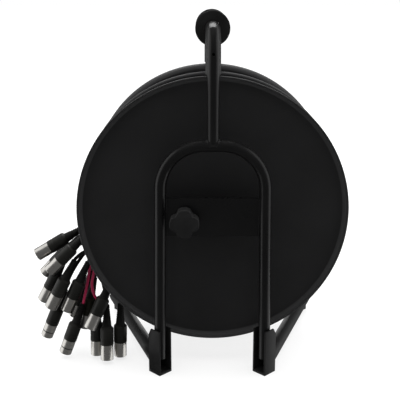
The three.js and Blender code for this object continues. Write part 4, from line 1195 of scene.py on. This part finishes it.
STUD_RADIUS = 4
THREAD_PITCH = 1.25
THREAD_STEPS = 24
PAD_RADIUS, PAD_THICKNESS, PAD_LIFT = 12, 8, 1.5
pad_back = -FACE_PLANE - PAD_LIFT
stud_start = knob_back - 12
stud_end = pad_back - PAD_THICKNESS + 4 - GAP
turns = int((stud_end - stud_start) / THREAD_PITCH)
thread = bmesh.new()
points = [thread.verts.new((radius, stud_start + y * THREAD_PITCH, 0)) for radius, y in
          ((STUD_RADIUS - 0.7, 0), (STUD_RADIUS, 0.4), (STUD_RADIUS, 0.6), (STUD_RADIUS - 0.7, 1))]
line = [thread.edges.new(pair) for pair in zip(points, points[1:])]
bmesh.ops.spin(thread, geom=points + line, cent=(0, 0, 0), axis=(0, 1, 0), angle=2 * pi * turns,
               steps=THREAD_STEPS * turns, dvec=(0, THREAD_PITCH / THREAD_STEPS, 0))
bmesh.ops.remove_doubles(thread, verts=thread.verts[:], dist=0.01)
bar = turned(disc(STUD_RADIUS - 0.5, stud_start, stud_end, 0.3), 24)
stud = moved(joined(outward(thread), bar), KNOB_AXIS)
make("brake_spindle", stud, bare_steel, "brake_screw", "brake_stud")

pad_front = pad_back - PAD_THICKNESS
socket = STUD_RADIUS + GAP
pad = [(0, pad_back), (PAD_RADIUS - 1.2, pad_back), *arc((PAD_RADIUS - 1.2, pad_back - 1.2), 1.2, 80, 0, 4),
       *corner(PAD_RADIUS, pad_back, (0, -5), (-1, -5.4)), *corner(PAD_RADIUS, pad_front, (-1, 0.6), (-1.6, 0)),
       (socket, pad_front), (socket, pad_back - 4), (0, pad_back - 4)]
make("rubber_pad", moved(turned(pad, 48), KNOB_AXIS), grip_rubber, "brake_shoe", "brake_pad")

# %% [markdown]
# ## The crank
# The drum is wound from its far side. The arm is a flat bar with round ends, which is a circle whose lower half is
# moved down before it is given its thickness. The knob runs free on a pin and swells towards its middle, to fit the
# palm. None of this shows in the photograph, so it is a plain crank of the usual kind.

# %% The crank's arm and knob
CRANK_LENGTH = 90
CRANK_HALF = 13
CRANK_KNOB_LENGTH = 48
CRANK_PIN, CRANK_HEAD = 5, 3
knob_low = CRANK_FRONT + GAP
knob_high = knob_low + CRANK_KNOB_LENGTH
crank_end = knob_high + GAP + CRANK_HEAD

arm = bmesh.new()
half_step = pi / 48
upright_disc = Matrix.Rotation(radians(90), 4, "X") @ Matrix.Rotation(half_step, 4, "Z")
bmesh.ops.create_circle(arm, cap_ends=True, segments=48, radius=CRANK_HALF,
                        matrix=Matrix.Translation((0, CRANK_BACK, 0)) @ upright_disc)
lower = [point for point in arm.verts if point.co.z < 0]
bmesh.ops.translate(arm, verts=lower, vec=(0, 0, -CRANK_LENGTH))
pushed(arm, arm.faces[:], (0, CRANK_FRONT - CRANK_BACK, 0))
eased(outward(arm), 0.9, 3, 60)
pin = turned([(0, CRANK_BACK + 2), (CRANK_PIN, CRANK_BACK + 2), (CRANK_PIN, knob_high + GAP), (8, knob_high + GAP),
              (8, crank_end - 1.2), (6.8, crank_end), (0, crank_end)], 32)
collar = ring(arc((SHAFT_RADIUS, CRANK_FRONT), 1.6, -30, 210, 8), 48)
crank = joined(arm, moved(pin, (0, 0, -CRANK_LENGTH)), collar)
make("crank_bar", crank, tube_paint, "drum", "crank_arm")

swell = [(CRANK_PIN + GAP, knob_low), (10, knob_low), (11, knob_low + 1)]
swell += [(11 + 2 * sin(pi * i / 12), knob_low + 1 + (CRANK_KNOB_LENGTH - 3.5) * i / 12)
          for i in range(1, 12)]
swell += [(11, knob_high - 2.5), (10.4, knob_high - 0.8), (9, knob_high), (CRANK_PIN + GAP, knob_high)]
make("crank_handle", moved(ring(swell, 48), (0, 0, -CRANK_LENGTH)), knob_plastic, "crank_grip", "crank_knob")

# %% [markdown]
# ## The size, and the last line
# Looks never change the reel's size, so the box of the dressed model is printed beside the CAD model's box.

# %% Sizes, and done
dressed_box = [list(corner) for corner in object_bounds()]
for label, box in (("CAD", cad_box), ("dressed", dressed_box)):
    print(label, [[round(value / MM, 1) for value in corner] for corner in box])
